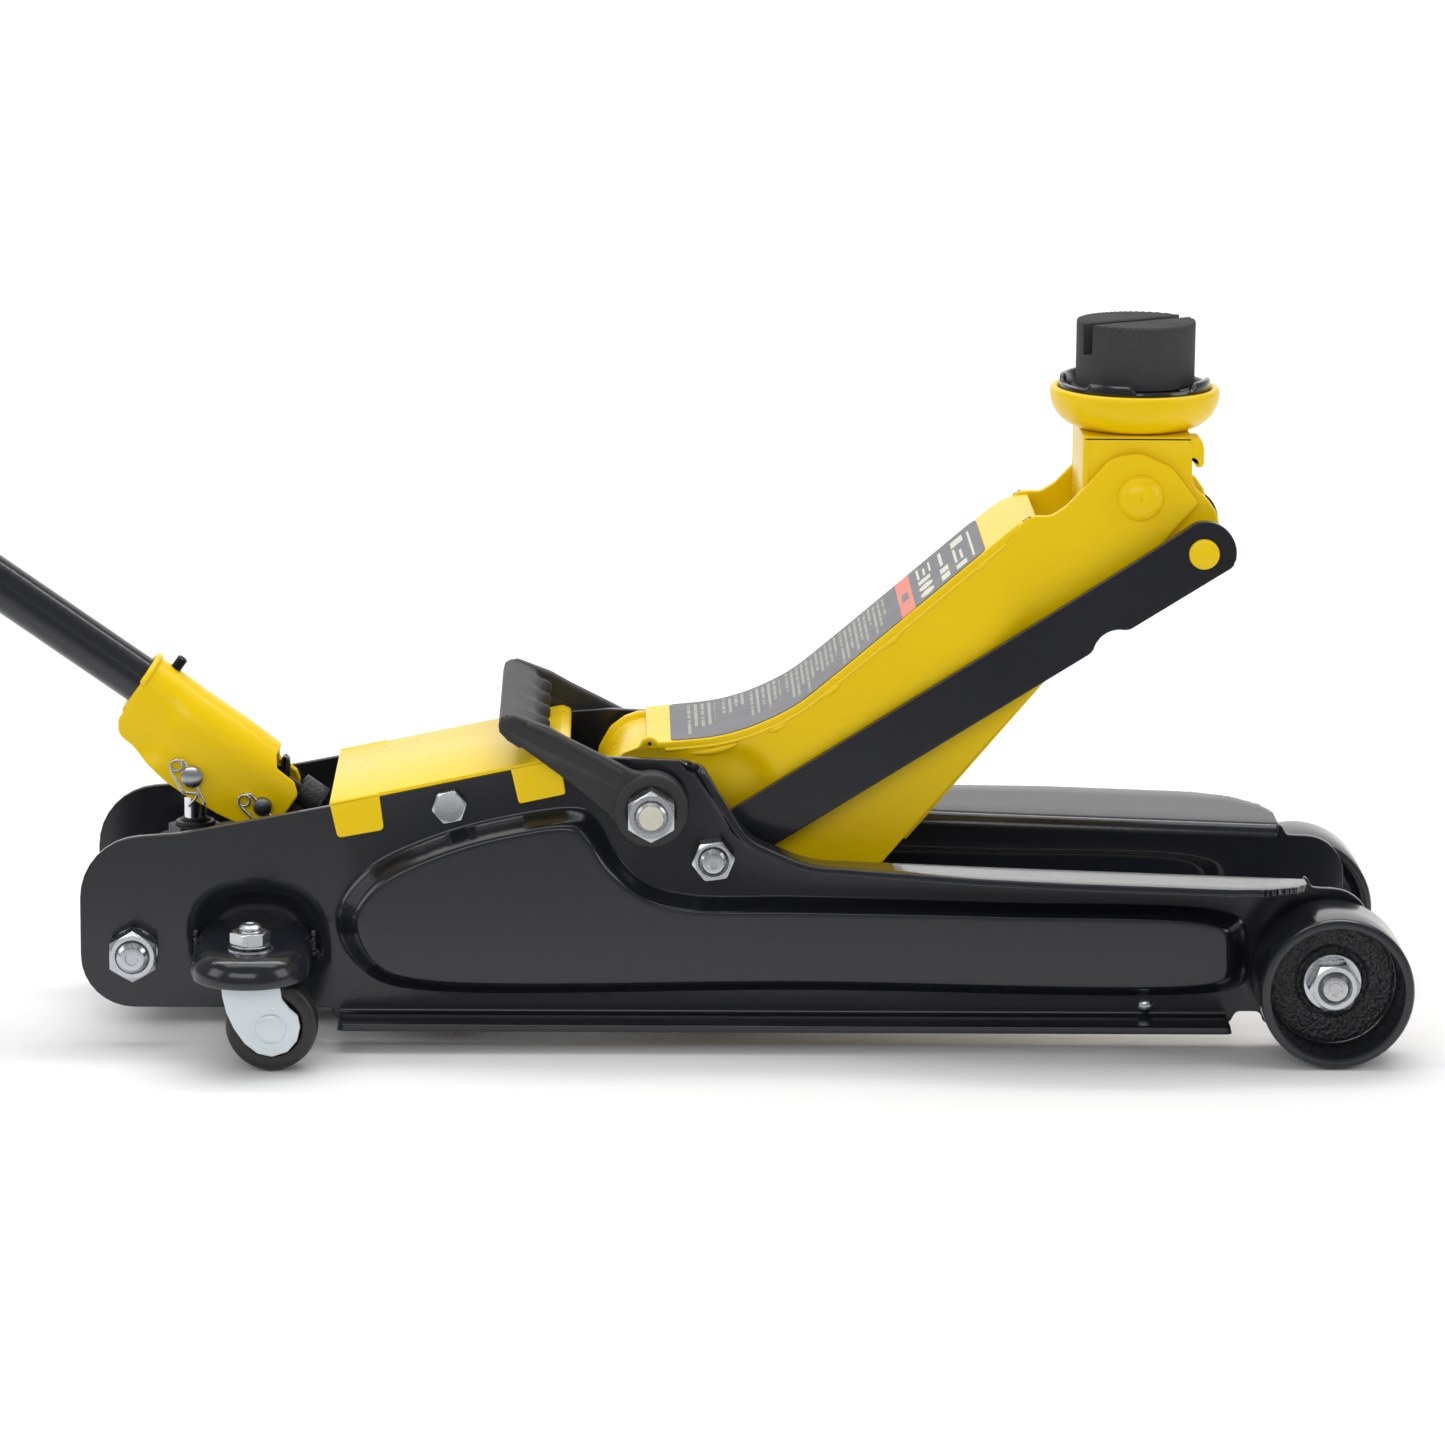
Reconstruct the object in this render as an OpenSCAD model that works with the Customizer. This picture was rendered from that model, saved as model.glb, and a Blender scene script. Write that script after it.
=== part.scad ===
// Hydraulic floor jack, low-profile trolley pattern.
// Frame: X from the handle end to the lifting saddle, Y across, Z up, floor at Z = 0.
// x values inside the modules are measured from the rear edge of the side plates.

/* [Frame] */
// outside half width over the two side plates
plate_y = 62; // [58:1:70]
// side plate sheet thickness
plate_t = 4; // [3:0.5:6]
// height of the pressed side panel above the sheet
panel_h = 12; // [8:1:16]
// front wheel radius
wheel_r = 40.5; // [38:0.5:45]
// front wheel tread width
wheel_w = 45.5; // [36:0.5:50]
// rear caster wheel radius
caster_r = 24; // [22:0.5:30]
// caster stem distance from the centre plane
caster_y = 116; // [110:1:125]

/* [Lifting gear] */
// outside half width of the lift arm
arm_y = 40; // [36:1:42]
// lift arm side sheet thickness
arm_t = 4; // [3:0.5:6]
// distance from the main pivot to the ram pin
lever_l = 65; // [60:1:70]
// half width of the link bars across their height
link_hw = 14.5; // [12:0.5:16]
// outer radius of the saddle cup
cup_r = 45; // [40:1:50]
// radius of the rubber pad
pad_r = 31.5; // [28:0.5:35]
// height of the rubber pad
pad_h = 34; // [20:1:40]

/* [Pump and handle] */
// handle tube outside radius
tube_r = 13; // [11:0.5:16]
// handle elevation in degrees
tube_el = 35; // [25:1:60]
// distance from the socket pivot to the handle tip
handle_l = 1085; // [700:5:1200]
// hydraulic cylinder outside radius
cyl_r = 28; // [24:1:30]
// ram rod radius
ram_r = 11; // [9:0.5:12]

/* [Hidden] */
$fn = 48;
C = [301, 128.5];            // main pivot
D = [334, 101];              // link bar rear pivot
P1 = [557.5, 290.5];         // saddle bracket pivot
P2 = P1 + (D - C);           // link bar front pivot
A = [28.4, 48.5];            // rear tie rod
B = [195, 128.5];            // front tie bar
W = [660.7, wheel_r];        // front axle
S = [94.2, 117.2];           // handle socket pivot
R1 = [56.8, 133.5];          // plunger roller pin
LA = 7.5;                    // ram lever angle ahead of straight down
LP = C + lever_l*[sin(LA), -cos(LA)];
RH = 309;                    // ram head slot centre
ram_z = 72;                  // ram axis height
stem_x = 93;                 // caster stem
cax = [104, caster_r];       // caster axle
e1 = [-cos(tube_el), sin(tube_el)];
e2 = [sin(tube_el), cos(tube_el)];
tb = 15;                     // tube axis above the socket pivot
grip_r = 17;
x_lo = S[0] + handle_l*e1[0] + (tb - grip_r)*e2[0];
x_hi = W[0] + wheel_r;
x_mid = (x_lo + x_hi)/2;
yin = plate_y - plate_t;     // inside face of a side plate
ai = arm_y - arm_t;
wy0 = 67.3;                  // front wheel inner face
wy1 = wy0 + wheel_w;

yel = [0.88, 0.74, 0.02];
blk = [0.12, 0.12, 0.13];
znc = [0.72, 0.74, 0.76];
stl = [0.55, 0.56, 0.58];
rub = [0.06, 0.06, 0.06];

/* helpers */
module at0() translate([-x_mid, 0, 0]) children();
// profile in X,Z swept from y0 to y1
module xz(y0, y1) translate([0, y1, 0]) rotate([90, 0, 0]) linear_extrude(y1 - y0) children();
module ycyl(p, r, y0, y1, f = 48) translate([p[0], y1, p[1]]) rotate([90, 0, 0]) cylinder(r = r, h = y1 - y0, $fn = f);
module near_far() { children(); mirror([0, 1, 0]) children(); }
module hexy(p, af, y0, y1, a = 0) translate([p[0], y1, p[1]]) rotate([90, 0, 0]) rotate(a) cylinder(r = af/2/cos(30), h = y1 - y0, $fn = 6);
// rounded polygon: each entry is [x, z, radius]
function _u(a) = a/norm(a);
function _arc(p, q, s, r, n) =
    let (u = _u(p - q), v = _u(s - q), c = max(-0.9999, min(0.9999, u*v)), h = acos(c)/2,
         t = r/tan(h), m = q + _u(u + v)*r/sin(h), a = q + u*t, b = q + v*t,
         a0 = atan2(a[1] - m[1], a[0] - m[0]), b0 = atan2(b[1] - m[1], b[0] - m[0]),
         d0 = b0 - a0, d = d0 > 180 ? d0 - 360 : d0 < -180 ? d0 + 360 : d0)
    [for (i = [0:n]) m + r*[cos(a0 + d*i/n), sin(a0 + d*i/n)]];
function rp(v, n = 5) = [for (i = [0:len(v) - 1])
    let (k = len(v), p = v[(i + k - 1) % k], q = v[i], s = v[(i + 1) % k])
    each (q[2] > 0 ? _arc([p[0], p[1]], [q[0], q[1]], [s[0], s[1]], q[2], n) : [[q[0], q[1]]])];
// bar outline between two points
function barp(p, q, r, n = 24) = let (d = q - p, a = atan2(d[1], d[0])) concat([for (i = [0:n]) p + r*[cos(a + 90 + 180*i/n), sin(a + 90 + 180*i/n)]], [for (i = [0:n]) q + r*[cos(a - 90 + 180*i/n), sin(a - 90 + 180*i/n)]]);
module bar2(p, q, r) polygon(barp(p, q, r));
// socket frame: origin at the socket pivot, first axis up the handle
module sock() translate([S[0], 0, S[1]]) rotate([0, tube_el, 0]) mirror([1, 0, 0]) children();
// the handle axis as the Z axis
module tubeax() translate([S[0] + tb*e2[0], 0, S[1] + tb*e2[1]]) rotate([0, -(90 - tube_el), 0]) children();

/* side plates */
module plate_2d() polygon(rp([[0, 17.5, 28], [0, 108, 34], [52, 112, 40], [132, 127.3, 0], [253, 152.8, 30], [277, 154.5, 6], [328, 152.5, 8], [352, 114, 30], [385, 100.5, 60], [486, 96.5, 0], [646, 91, 4], [650, 85, 4], [683.5, 84, 22], [683.5, 16, 20], [632, 11.3, 3], [628, 11.3, 2], [626, 17.5, 5], [613, 17.5, 5], [610, 11.3, 3], [136, 11.3, 3], [133, 17.5, 3]]));
module panel_2d(g) polygon(rp([[141 - g, 66, 26], [156 - g, 96 + g, 14], [200, 111 + g, 60], [266 + g, 122 + g, 6], [284 + g, 92 + g, 24], [318, 77 + g, 40], [612 + g, 70 + g, 7], [612 + g, 33 - g, 7], [164 - g, 33 - g, 24]]));
function flw(x) = x < 350 ? 8 + (x - 322)*0.3 : x < 520 ? 16.4 + (x - 350)*0.21 : 52;
module side_plate() {
    difference() {
        union() {
            difference() { xz(-plate_y, -yin) plate_2d(); xz(-plate_y - 1, -yin + 1) panel_2d(-3.5); }
            difference() { xz(-plate_y - panel_h, -yin) panel_2d(0.5); xz(-plate_y - panel_h + plate_t, -yin + 1) panel_2d(-3.5); }
            // bottom flange, bent outward
            difference() {
                translate([134, -87, 11.3]) cube([475, 87 - yin, 5]);
                translate([134, -87, 11]) cube([4, 4, 6]);
                translate([605, -87, 11]) cube([4.1, 4, 6]);
            }
            // top flange behind the pivot hump
            intersection() {
                xz(-100, -yin) polygon([[322, 152.8], [328.5, 151.5], [353, 113.8], [386, 100], [390, 99.7], [390, 96], [384, 96.3], [350, 110], [325, 147.5], [320, 148.8]]);
                translate([0, 0, 80]) linear_extrude(90) polygon([[318, -yin], [318, -plate_y - 6], [350, -plate_y - 16], [391, -plate_y - 28], [391, -yin]]);
            }
            // wide front flange over the wheels, tipped up a little
            intersection() {
                translate([0, -yin, 96]) rotate([-5.4, 0, 0]) translate([0, yin, -96]) xz(-120, -yin) polygon([[384, 100.2], [486, 96.5], [647, 91], [647, 87], [486, 92.5], [384, 96.2]]);
                translate([0, 0, 80]) linear_extrude(40) polygon([[384, -yin], [384, -plate_y - 26], [416, -97], [470, -111], [520, -114], [600, -114], [622, -109], [638, -98], [646, -84], [646, -yin]]);
            }
        }
        ycyl(A, 8.2, -70, -50);
        ycyl(B, 5.2, -70, -50);
        ycyl(C, 8.2, -70, -50);
        ycyl(D, 7.2, -70, -50);
        ycyl(W, 8.2, -70, -50);
        ycyl([564.6, 20.9], 2.6, -70, -50);
    }
}
module side_plate_near() color(blk) at0() side_plate();
module side_plate_far() color(blk) at0() mirror([0, 1, 0]) side_plate();

/* caster brackets: pressed half-round shelf with a rolled lip */
module shelf_2d(g) { translate([92, -112]) circle(31 - g); translate([61 + g, -112]) square([62 - 2*g, 112 - plate_y - 0.2]); }
module caster_shelf() difference() {
    union() {
        translate([0, 0, 59]) linear_extrude(4) shelf_2d(0);
        translate([stem_x, -caster_y, 55]) cylinder(r = 15, h = 4.5);
        translate([0, 0, 48]) linear_extrude(15) difference() { shelf_2d(0); shelf_2d(4); }
        xz(-plate_y - 3.2, -plate_y - 0.2) polygon(rp([[62, 48, 0], [62, 70, 12], [92, 86, 30], [122, 70, 12], [122, 48, 0]]));
    }
    translate([stem_x, -caster_y, 50]) cylinder(r = 6.1, h = 20);
}
module caster_bracket_near() color(blk) at0() caster_shelf();
module caster_bracket_far() color(blk) at0() mirror([0, 1, 0]) caster_shelf();
module caster_stems() color(znc) at0() near_far() translate([stem_x, -caster_y, 0]) {
    translate([0, 0, 49]) cylinder(r = 8, h = 2);
    translate([0, 0, 50.9]) cylinder(r = 6, h = 25.1);
}
module caster_nuts() color(znc) at0() near_far() translate([stem_x, -caster_y, 63.1]) difference() {
    union() { cylinder(r = 12, h = 1.6); translate([0, 0, 1.5]) cylinder(r = 9.6, h = 1.4); translate([0, 0, 2.8]) cylinder(r = 10.6, h = 7, $fn = 6); }
    translate([0, 0, -1]) cylinder(r = 6.05, h = 12);
}
module yoke() translate([0, -caster_y, 0]) {
    difference() {
        union() {
            translate([stem_x, 0, 51.5]) cylinder(r = 15, h = 3);
            translate([stem_x - 13, -12.5, 51.5]) cube([27, 25, 3]);
            for (s = [-1, 1]) xz(s*11.25 - 1.25, s*11.25 + 1.25) {
                polygon(rp([[79, 54.5, 0], [79, 40, 10], [90, 17, 3], [104, 10, 6], [118, 20, 6], [117, 34, 8], [109, 44, 5], [109, 54.5, 0]]));
                translate(cax) circle(14.5);
            }
        }
        translate([stem_x, 0, 50]) cylinder(r = 6.4, h = 6);
        ycyl(cax, 4.1, -14, 14);
    }
}
module caxle() { ycyl(cax, 4, -caster_y - 12.6, -caster_y + 12.6); ycyl(cax, 8, -caster_y - 13.7, -caster_y - 12.5); ycyl(cax, 6, -caster_y + 12.5, -caster_y + 13.5); }
module caster_yoke_near() color([0.72, 0.77, 0.8]) at0() { yoke(); caxle(); }
module caster_yoke_far() color([0.72, 0.77, 0.8]) at0() mirror([0, 1, 0]) { yoke(); caxle(); }
module cwheel() translate([cax[0], -caster_y, cax[1]]) rotate([90, 0, 0]) rotate_extrude($fn = 64) polygon([[4.08, -9.5], [8, -9.5], [8, -7], [15, -7], [17, -8.5], [caster_r - 3, -9], [caster_r, -6.5], [caster_r, 6.5], [caster_r - 3, 9], [17, 8.5], [15, 7], [8, 7], [8, 9.5], [4.08, 9.5]]);
module caster_wheel_near() color(rub) at0() cwheel();
module caster_wheel_far() color(rub) at0() mirror([0, 1, 0]) cwheel();

/* rear tie rod, tie bar, pivot shaft, front axle */
module rear_tie_rod() color(znc) at0() ycyl(A, 8, -80, 80);
module m16_nuts() color(znc) at0() near_far() {
    difference() { union() { hexy(A, 24, -77, -64.4, 30); ycyl(A, 15, -64.5, -plate_y - 0.1); } ycyl(A, 8.02, -90, -50); }
    difference() { hexy(C, 24, -89.5, -76.6, 0); ycyl(C, 8.02, -95, -70); }
    difference() { hexy(W, 24, -100, -88, 20); ycyl(W, 8.02, -110, -80); }
}
module rear_tie_sleeves() color(stl) at0() near_far() difference() { ycyl(A, 12, -yin + 0.1, -29.5); ycyl(A, 8.1, -60, -20); }
module front_tie_bar() color(stl) at0() difference() { ycyl(B, 9, -yin + 0.1, yin - 0.1); near_far() ycyl(B, 5.05, -60, -38); }
module tie_bolts() color(znc) at0() near_far() { ycyl(B, 5, -66, -40); hexy(B, 16.3, -68.5, -plate_y - 0.1, 12); }
module main_pivot_shaft() color(stl) at0() { ycyl(C, 12.5, -yin + 0.4, yin - 0.4, 64); near_far() ycyl(C, 8, -92, -yin + 1); }
module link_pivot_bolts() color(znc) at0() near_far() { ycyl(D, 7, -77, -45); ycyl(D, 11, -46.4, -43, 32); ycyl(D, 11, -yin + 0.1, -52.4); }
module link_pivot_nuts() color(znc) at0() near_far() difference() { hexy(D, 20, -74, -plate_y - 0.1, 8); ycyl(D, 7.02, -80, -60); }
module front_axle() color(stl) at0() { ycyl(W, 8, -102, 102); near_far() ycyl(W, 13, -wy0 + 0.5, -plate_y - 0.1, 32); }
module front_axle_washers() color(znc) at0() near_far() difference() { ycyl(W, 15.5, -87.9, -85.3); ycyl(W, 8.05, -90, -80); }
module flange_rivets() color(znc) at0() near_far() { ycyl([564.6, 20.9], 2.5, -63, -56, 24); ycyl([564.6, 20.9], 4.2, -65, -plate_y - 0.05, 24); ycyl([564.6, 20.9], 4.2, -yin + 0.05, -56, 24); }

/* front wheels */
module fwheel() translate([W[0], 0, W[1]]) rotate([90, 0, 0]) rotate_extrude($fn = 96) polygon([[8.08, wy0], [15, wy0], [15, 71], [33, 71], [35, wy0 + 1], [wheel_r - 2, wy0], [wheel_r, wy0 + 2], [wheel_r, wy1 - 2], [wheel_r - 1.5, wy1], [wheel_r - 4.5, wy1], [35, wy1 - 3], [34.5, 87], [32.5, 85], [8.08, 85]]);
module plunger_spring() color(stl) at0() for (i = [0:4]) translate([57, 0, 104.6 + i*3.1]) rotate_extrude($fn = 40) translate([9.4, 0]) circle(1.1, $fn = 12);
module front_wheel_near() color(blk) at0() fwheel();
module front_wheel_far() color(blk) at0() mirror([0, 1, 0]) fwheel();

/* lift arm: welded channel */
module arm_side_2d() difference() {
    union() {
        translate(C) circle(28);
        polygon(rp([[301, 156.5, 0], [322, 154.6, 10], [341, 158, 30], [364, 165.5, 40], [389, 182, 60], [446, 235, 60], [500, 282, 6], [511, 280, 8], [527, 294, 10], [541, 312, 16], [557, 314, 12], [575, 306, 10], [588, 287, 4], [576, 274, 6], [421, 89, 9], [352, 84, 30], [330, 66, 12], [301, 100, 0]]));
        bar2(C, LP, 15);
        translate([310, 156]) circle(6.5);
    }
    translate(C) circle(12.58);
    translate(P1) circle(8.1);
    translate(LP) circle(8.05);
}
module lift_arm() color(yel) at0() difference() {
    union() {
        near_far() xz(-arm_y, -ai) arm_side_2d();
        // pivot tube
        ycyl(C, 18, -ai - 0.5, ai + 0.5);
        // top plate between the sides
        xz(-ai - 0.5, ai + 0.5) polygon(concat(rp([[299, 151, 0], [322, 153.2, 10], [341, 156.6, 30], [364, 164, 40], [389, 180.5, 60], [446, 233.5, 60], [500, 280.5, 0]]),
            rp([[503, 277.5, 0], [449, 230.5, 56], [391.5, 177.5, 56], [365.5, 160.5, 36], [342, 152.8, 26], [322, 149.2, 8], [300, 147, 0]])));
        // rear apron behind the pivot tube
        xz(-ai - 0.5, ai + 0.5) difference() { translate(C) circle(23); translate(C) circle(17.5); translate([C[0], C[1] - 40]) square([60, 80]); translate([C[0] - 40, C[1] - 40]) square([60, 40]); }
        // lower front web
        xz(-ai - 0.5, ai + 0.5) polygon([[434, 107], [512, 200], [515, 197.5], [437, 104.5]]);
    }
    ycyl(C, 12.58, -60, 60, 64);
    ycyl([310, 158], 2, -60, -20, 24);
}
module lever_pin() color(stl) at0() { ycyl(LP, 8, -46, 46); near_far() ycyl(LP, 4, -52, -45, 24); }
module saddle_pivot_pin() color(yel) at0() { ycyl(P1, 8, -arm_y - 2, arm_y + 2); near_far() { ycyl(P1, 11.5, -arm_y - 3, -arm_y - 0.1, 40); ycyl(P1, 9, -arm_y - 4.4, -arm_y - 2.9, 40); ycyl(P1, 5.5, -arm_y - 5.2, -arm_y - 4.3, 40); } }
module arm_label() color([0.33, 0.33, 0.36]) at0() xz(-32, 32) polygon(concat(rp([[312, 153.5, 0], [322, 154.3, 10], [341, 157.7, 30], [363.6, 165.1, 40], [388.4, 181.6, 60], [445.2, 234.5, 60], [490, 273.5, 0]]),
            rp([[490.5, 272.9, 0], [445.7, 233.9, 60], [388.8, 181, 60], [363.8, 164.5, 40], [341.2, 157.1, 30], [322.1, 153.7, 10], [312, 152.9, 0]])));

/* link bars */
module link_2d() difference() {
    bar2(D, P2, link_hw);
    translate(D) circle(7.08);
    translate(P2) circle(8.5);
    translate(D + 0.783*(P2 - D) + 23.5*[0.534, -0.845]) circle(14);
}
module link_bar_near() color(blk) at0() xz(-52, -47) link_2d();
module link_bar_far() color(blk) at0() xz(47, 52) link_2d();
module link_front_pin() color(yel) at0() { ycyl(P2, 8, -54.6, 54.6); }

/* saddle bracket, cup, dish, pad */
module saddle_bracket() color(yel) at0() difference() {
    union() {
        near_far() xz(-35.6, -31) difference() {
            union() { polygon(rp([[529, 322, 0], [529, 284, 12], [557, 268, 10], [584, 248, 8], [606, 258, 10], [600, 280, 8], [588, 296, 4], [590, 308, 3], [584, 322, 0]])); translate(P1) circle(19); translate(P2) circle(14); }
            translate(P1) circle(8.4);
            translate(P2) circle(8.02);
        }
        translate([526, -35.6, 316]) cube([62, 71.2, 6]);
        translate([523, -20, 290]) cube([6, 40, 32]);
        translate([556.5, 0, 312]) cylinder(r = 15, h = 10);
    }
    translate([556.5, 0, 300]) cylinder(r = 9.02, h = 30);
}
module saddle_cup() color(yel) at0() translate([556.5, 0, 322.2]) rotate_extrude($fn = 96) polygon([[9.6, 0], [26, 0], [34, 2.6], [41, 8], [cup_r - 0.8, 15], [cup_r, 19.5], [cup_r - 1.2, 21.6], [cup_r - 3.4, 21.6], [cup_r - 4.4, 16.5], [38.5, 11.5], [33, 7.5], [26, 5], [9.6, 5]]);
module saddle_dish() color(blk) at0() translate([556.5, 0, 0]) {
    rotate_extrude($fn = 96) polygon([[0, 303], [8.6, 303], [8.6, 327.6], [26, 327.6], [33, 331], [38.6, 337], [40.2, 341], [40.2, 346.5], [36.8, 346.5], [33.5, 340], [26, 336.5], [0, 336.5]]);
    for (i = [0:7]) rotate(i*45 + 22) translate([35.6, -4.5, 341]) cube([4.6, 9, 8]);
    translate([0, 0, 300]) cylinder(r = 11, h = 3.4, $fn = 32);
}
module saddle_pad() color(rub) at0() translate([556.5, 0, 345.2]) difference() {
    union() { cylinder(r = pad_r, h = pad_h, $fn = 96); translate([0, 0, -8]) cylinder(r = 24, h = 8.5, $fn = 64); }
    rotate(31) translate([-40, -4, pad_h - 17]) cube([80, 8, 20]);
}

/* hydraulic unit */
module pump_block() color([0.2, 0.2, 0.22]) at0() difference() {
    union() {
        xz(-27, 27) polygon(rp([[28, 32, 4], [108, 38, 6], [112, 44, 3], [112, 104, 3], [80, 104, 4], [74, 98, 3], [36, 92, 6], [22, 66, 8]]));
        ycyl(A, 16, -29, 29);
        near_far() xz(-15, -9) polygon(rp([[82, 95, 0], [84, 126, 8], [104, 126, 8], [110, 95, 0]]));
        tubeax() translate([0, 0, -26]) cylinder(r = 9, h = 14);
        xz(-9.2, 9.2) polygon([[98, 100], [112, 100], [112, 102.4], [119, 105], [121, 108], [112, 116], [104, 116]]);
    }
    ycyl(A, 8.3, -40, 40);
    ycyl(S, 5.1, -40, 40);
    translate([57, 0, 50]) cylinder(r = 13.1, h = 60);
    tubeax() translate([0, 0, -29]) cylinder(r = 5.6, h = 30);
    // screwdriver flat for the safety valve on the left cheek
    translate([70, -28, 60]) rotate([-90, 0, 0]) cylinder(r = 5, h = 4, $fn = 32);
}
module pump_barrel() color(stl) at0() translate([57, 0, 51]) difference() { union() { cylinder(r = 13, h = 48); translate([0, 0, 47]) cylinder(r = 14.5, h = 5, $fn = 6); } translate([0, 0, 4]) cylinder(r = 6.4, h = 60); }
module pump_plunger() color(znc) at0() { translate([57, 0, 76]) cylinder(r = 6, h = 44); translate([50, -7, 119]) cube([32, 14, 4.9]); }
module hydraulic_cylinder() color([0.2, 0.2, 0.22]) at0() translate([112.2, 0, ram_z]) rotate([0, 90, 0]) difference() { union() { cylinder(r = cyl_r, h = 120, $fn = 72); cylinder(r = 30, h = 8, $fn = 72); translate([0, 0, 112]) cylinder(r = 30, h = 8, $fn = 72); } translate([0, 0, 6]) cylinder(r = 17, h = 120, $fn = 64); }
module cylinder_gland() color(stl) at0() translate([232.4, 0, ram_z]) rotate([0, 90, 0]) difference() { union() { cylinder(r = 24, h = 5.6, $fn = 8); translate([0, 0, -12]) cylinder(r = 16.9, h = 13, $fn = 64); } translate([0, 0, -20]) cylinder(r = ram_r + 0.08, h = 40, $fn = 64); }
module filler_plug() color(rub) at0() translate([160, 0, ram_z + cyl_r + 0.05]) { cylinder(r = 5, h = 4, $fn = 32); translate([0, 0, 3.9]) cylinder(r = 8, h = 3, $fn = 32); }
module ram_rod() color(znc) at0() translate([0, 0, ram_z]) rotate([0, 90, 0]) { translate([0, 0, 175]) cylinder(r = ram_r, h = RH - 12.1 - 175, $fn = 64); translate([0, 0, 169.4]) cylinder(r = 16.95, h = 12, $fn = 64); }
module ram_head() color(stl) at0() difference() {
    xz(-14, 14) polygon(rp([[RH - 17, 50, 6], [RH - 17, 92, 8], [RH + 17, 92, 8], [RH + 17, 50, 6]]));
    xz(-20, 20) { translate([RH - 9.4, 63]) square([18.8, 16]); translate([RH, 63]) circle(9.4); translate([RH, 79]) circle(9.4); }
    translate([RH - 20, 0, ram_z]) rotate([0, 90, 0]) cylinder(r = ram_r + 0.02, h = 8.1, $fn = 64);
}
module return_spring() {
    p = [142, 112]; q = LP; d = q - p; l = norm(d); a = atan2(d[1], d[0]);
    translate([p[0], -49.2, p[1]]) rotate([0, -a, 0]) {
        for (i = [0:29]) translate([16 + i*(l - 32)/30, 0, 0]) rotate([0, 90, 0]) rotate_extrude($fn = 20) translate([5.2, 0]) circle(1.1, $fn = 8);
        translate([5.3, 0, 0]) rotate([0, 90, 0]) cylinder(r = 1.2, h = 11.7, $fn = 12);
        translate([l - 18, 0, 0]) rotate([0, 90, 0]) cylinder(r = 1.2, h = 13, $fn = 12);
    }
}
module return_spring_near() color(stl) at0() return_spring();
module return_spring_far() color(stl) at0() mirror([0, 1, 0]) return_spring();
module spring_anchor_rod() color(stl) at0() difference() { ycyl([142, 112], 5, -yin + 0.1, yin - 0.1, 40); near_far() translate([142, -49.2, 112]) rotate([90, 0, 0]) rotate_extrude($fn = 40) translate([5, 0]) circle(1.5, $fn = 16); }
module release_valve() color([0.16, 0.16, 0.17]) at0() tubeax() {
    translate([0, 0, -28]) cylinder(r = 5.2, h = 22, $fn = 32);
    difference() { translate([0, 0, -8]) cylinder(r = 7, h = 14, $fn = 32); translate([-8, -2.5, 0]) cube([16, 5, 8]); }
}

/* socket and handle */
module socket_2d() polygon(rp([[91, 31, 2], [89, -7, 3], [83, -13, 4], [72, -14, 6], [62, -18, 10], [36, -19.5, 20], [5, -15, 14], [-6, -9, 6], [-12, 4, 5], [-12, 19, 3], [-7, 22, 2], [6, 22, 1], [9, 31, 2]]));
module handle_socket() color(yel) at0() sock() difference() {
    union() {
        intersection() {
            xz(-19.5, 19.5) socket_2d();
            union() { translate([-30, -19.5, -30]) cube([140, 39, tb + 30]); translate([-30, 0, tb - 4]) rotate([0, 90, 0]) cylinder(r = 19.9, h = 140, $fn = 64); translate([-30, -16, tb - 4]) cube([140, 32, 20]); }
        }
        translate([66, 0, tb]) rotate([0, 90, 0]) cylinder(r = 16.2, h = 26, $fn = 64);
    }
    translate([-40, -16.5, -40]) cube([90, 33, 68]);
    translate([49, -16.5, -40]) cube([60, 33, tb + 36]);
    translate([40, 0, tb]) rotate([0, 90, 0]) cylinder(r = tube_r + 0.4, h = 80, $fn = 64);
    ycyl([0, 0], 5.1, -30, 30);
    ycyl([40, -8.1], 6.02, -30, 30);
    translate([79, 0, 26]) cylinder(r = 3.1, h = 12);
}
module socket_pivot_pin() color([0.35, 0.36, 0.38]) at0() difference() { ycyl(S, 5, -23.4, 23.4, 32); near_far() translate([S[0], -21.2, S[1]]) rotate([0, -32, 0]) cylinder(r = 1, h = 14, center = true, $fn = 16); }
module plunger_pin() color(znc) at0() difference() { ycyl(R1, 6, -23.6, 23.6, 40); near_far() translate([R1[0], -21.2, R1[1]]) rotate([0, -28, 0]) cylinder(r = 1, h = 16, center = true, $fn = 16); }
module plunger_roller() color(stl) at0() difference() { ycyl(R1, 9, -8, 8, 40); ycyl(R1, 6.08, -10, 10, 40); }
module rod2(p, q, r) { d = q - p; translate([p[0], 0, p[1]]) rotate([0, atan2(d[0], d[1]), 0]) cylinder(r = r, h = norm(d), $fn = 12); translate([q[0], 0, q[1]]) sphere(r = r, $fn = 12); }
// hairpin clip: straight leg through the pin's cross hole, bowed leg round it
module clip(p, a, y, k) translate([p[0], y, p[1]]) rotate([0, a, 0]) {
    translate([3.3, 0, 12.5]) rotate([90, 0, 0]) rotate_extrude($fn = 24) translate([3.3, 0]) circle(0.85, $fn = 10);
    rod2([0, 12], [0, -13], 0.85);
    rod2([6.6, 12], [k + 1.6, 2], 0.85);
    rod2([k + 1.6, 2], [k + 1.2, -3], 0.85);
    rod2([k + 1.2, -3], [2.6, -9.5], 0.85);
    rod2([2.6, -9.5], [5.6, -13], 0.85);
}
module plunger_clips() color(znc) at0() near_far() clip(R1, -28, -21.2, 6);
module pivot_clips() color(znc) at0() near_far() clip(S, -32, -21.2, 5);
module set_screw() color(rub) at0() sock() translate([79, 0, 27.7]) cylinder(r = 3, h = 10.5, $fn = 32);
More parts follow.
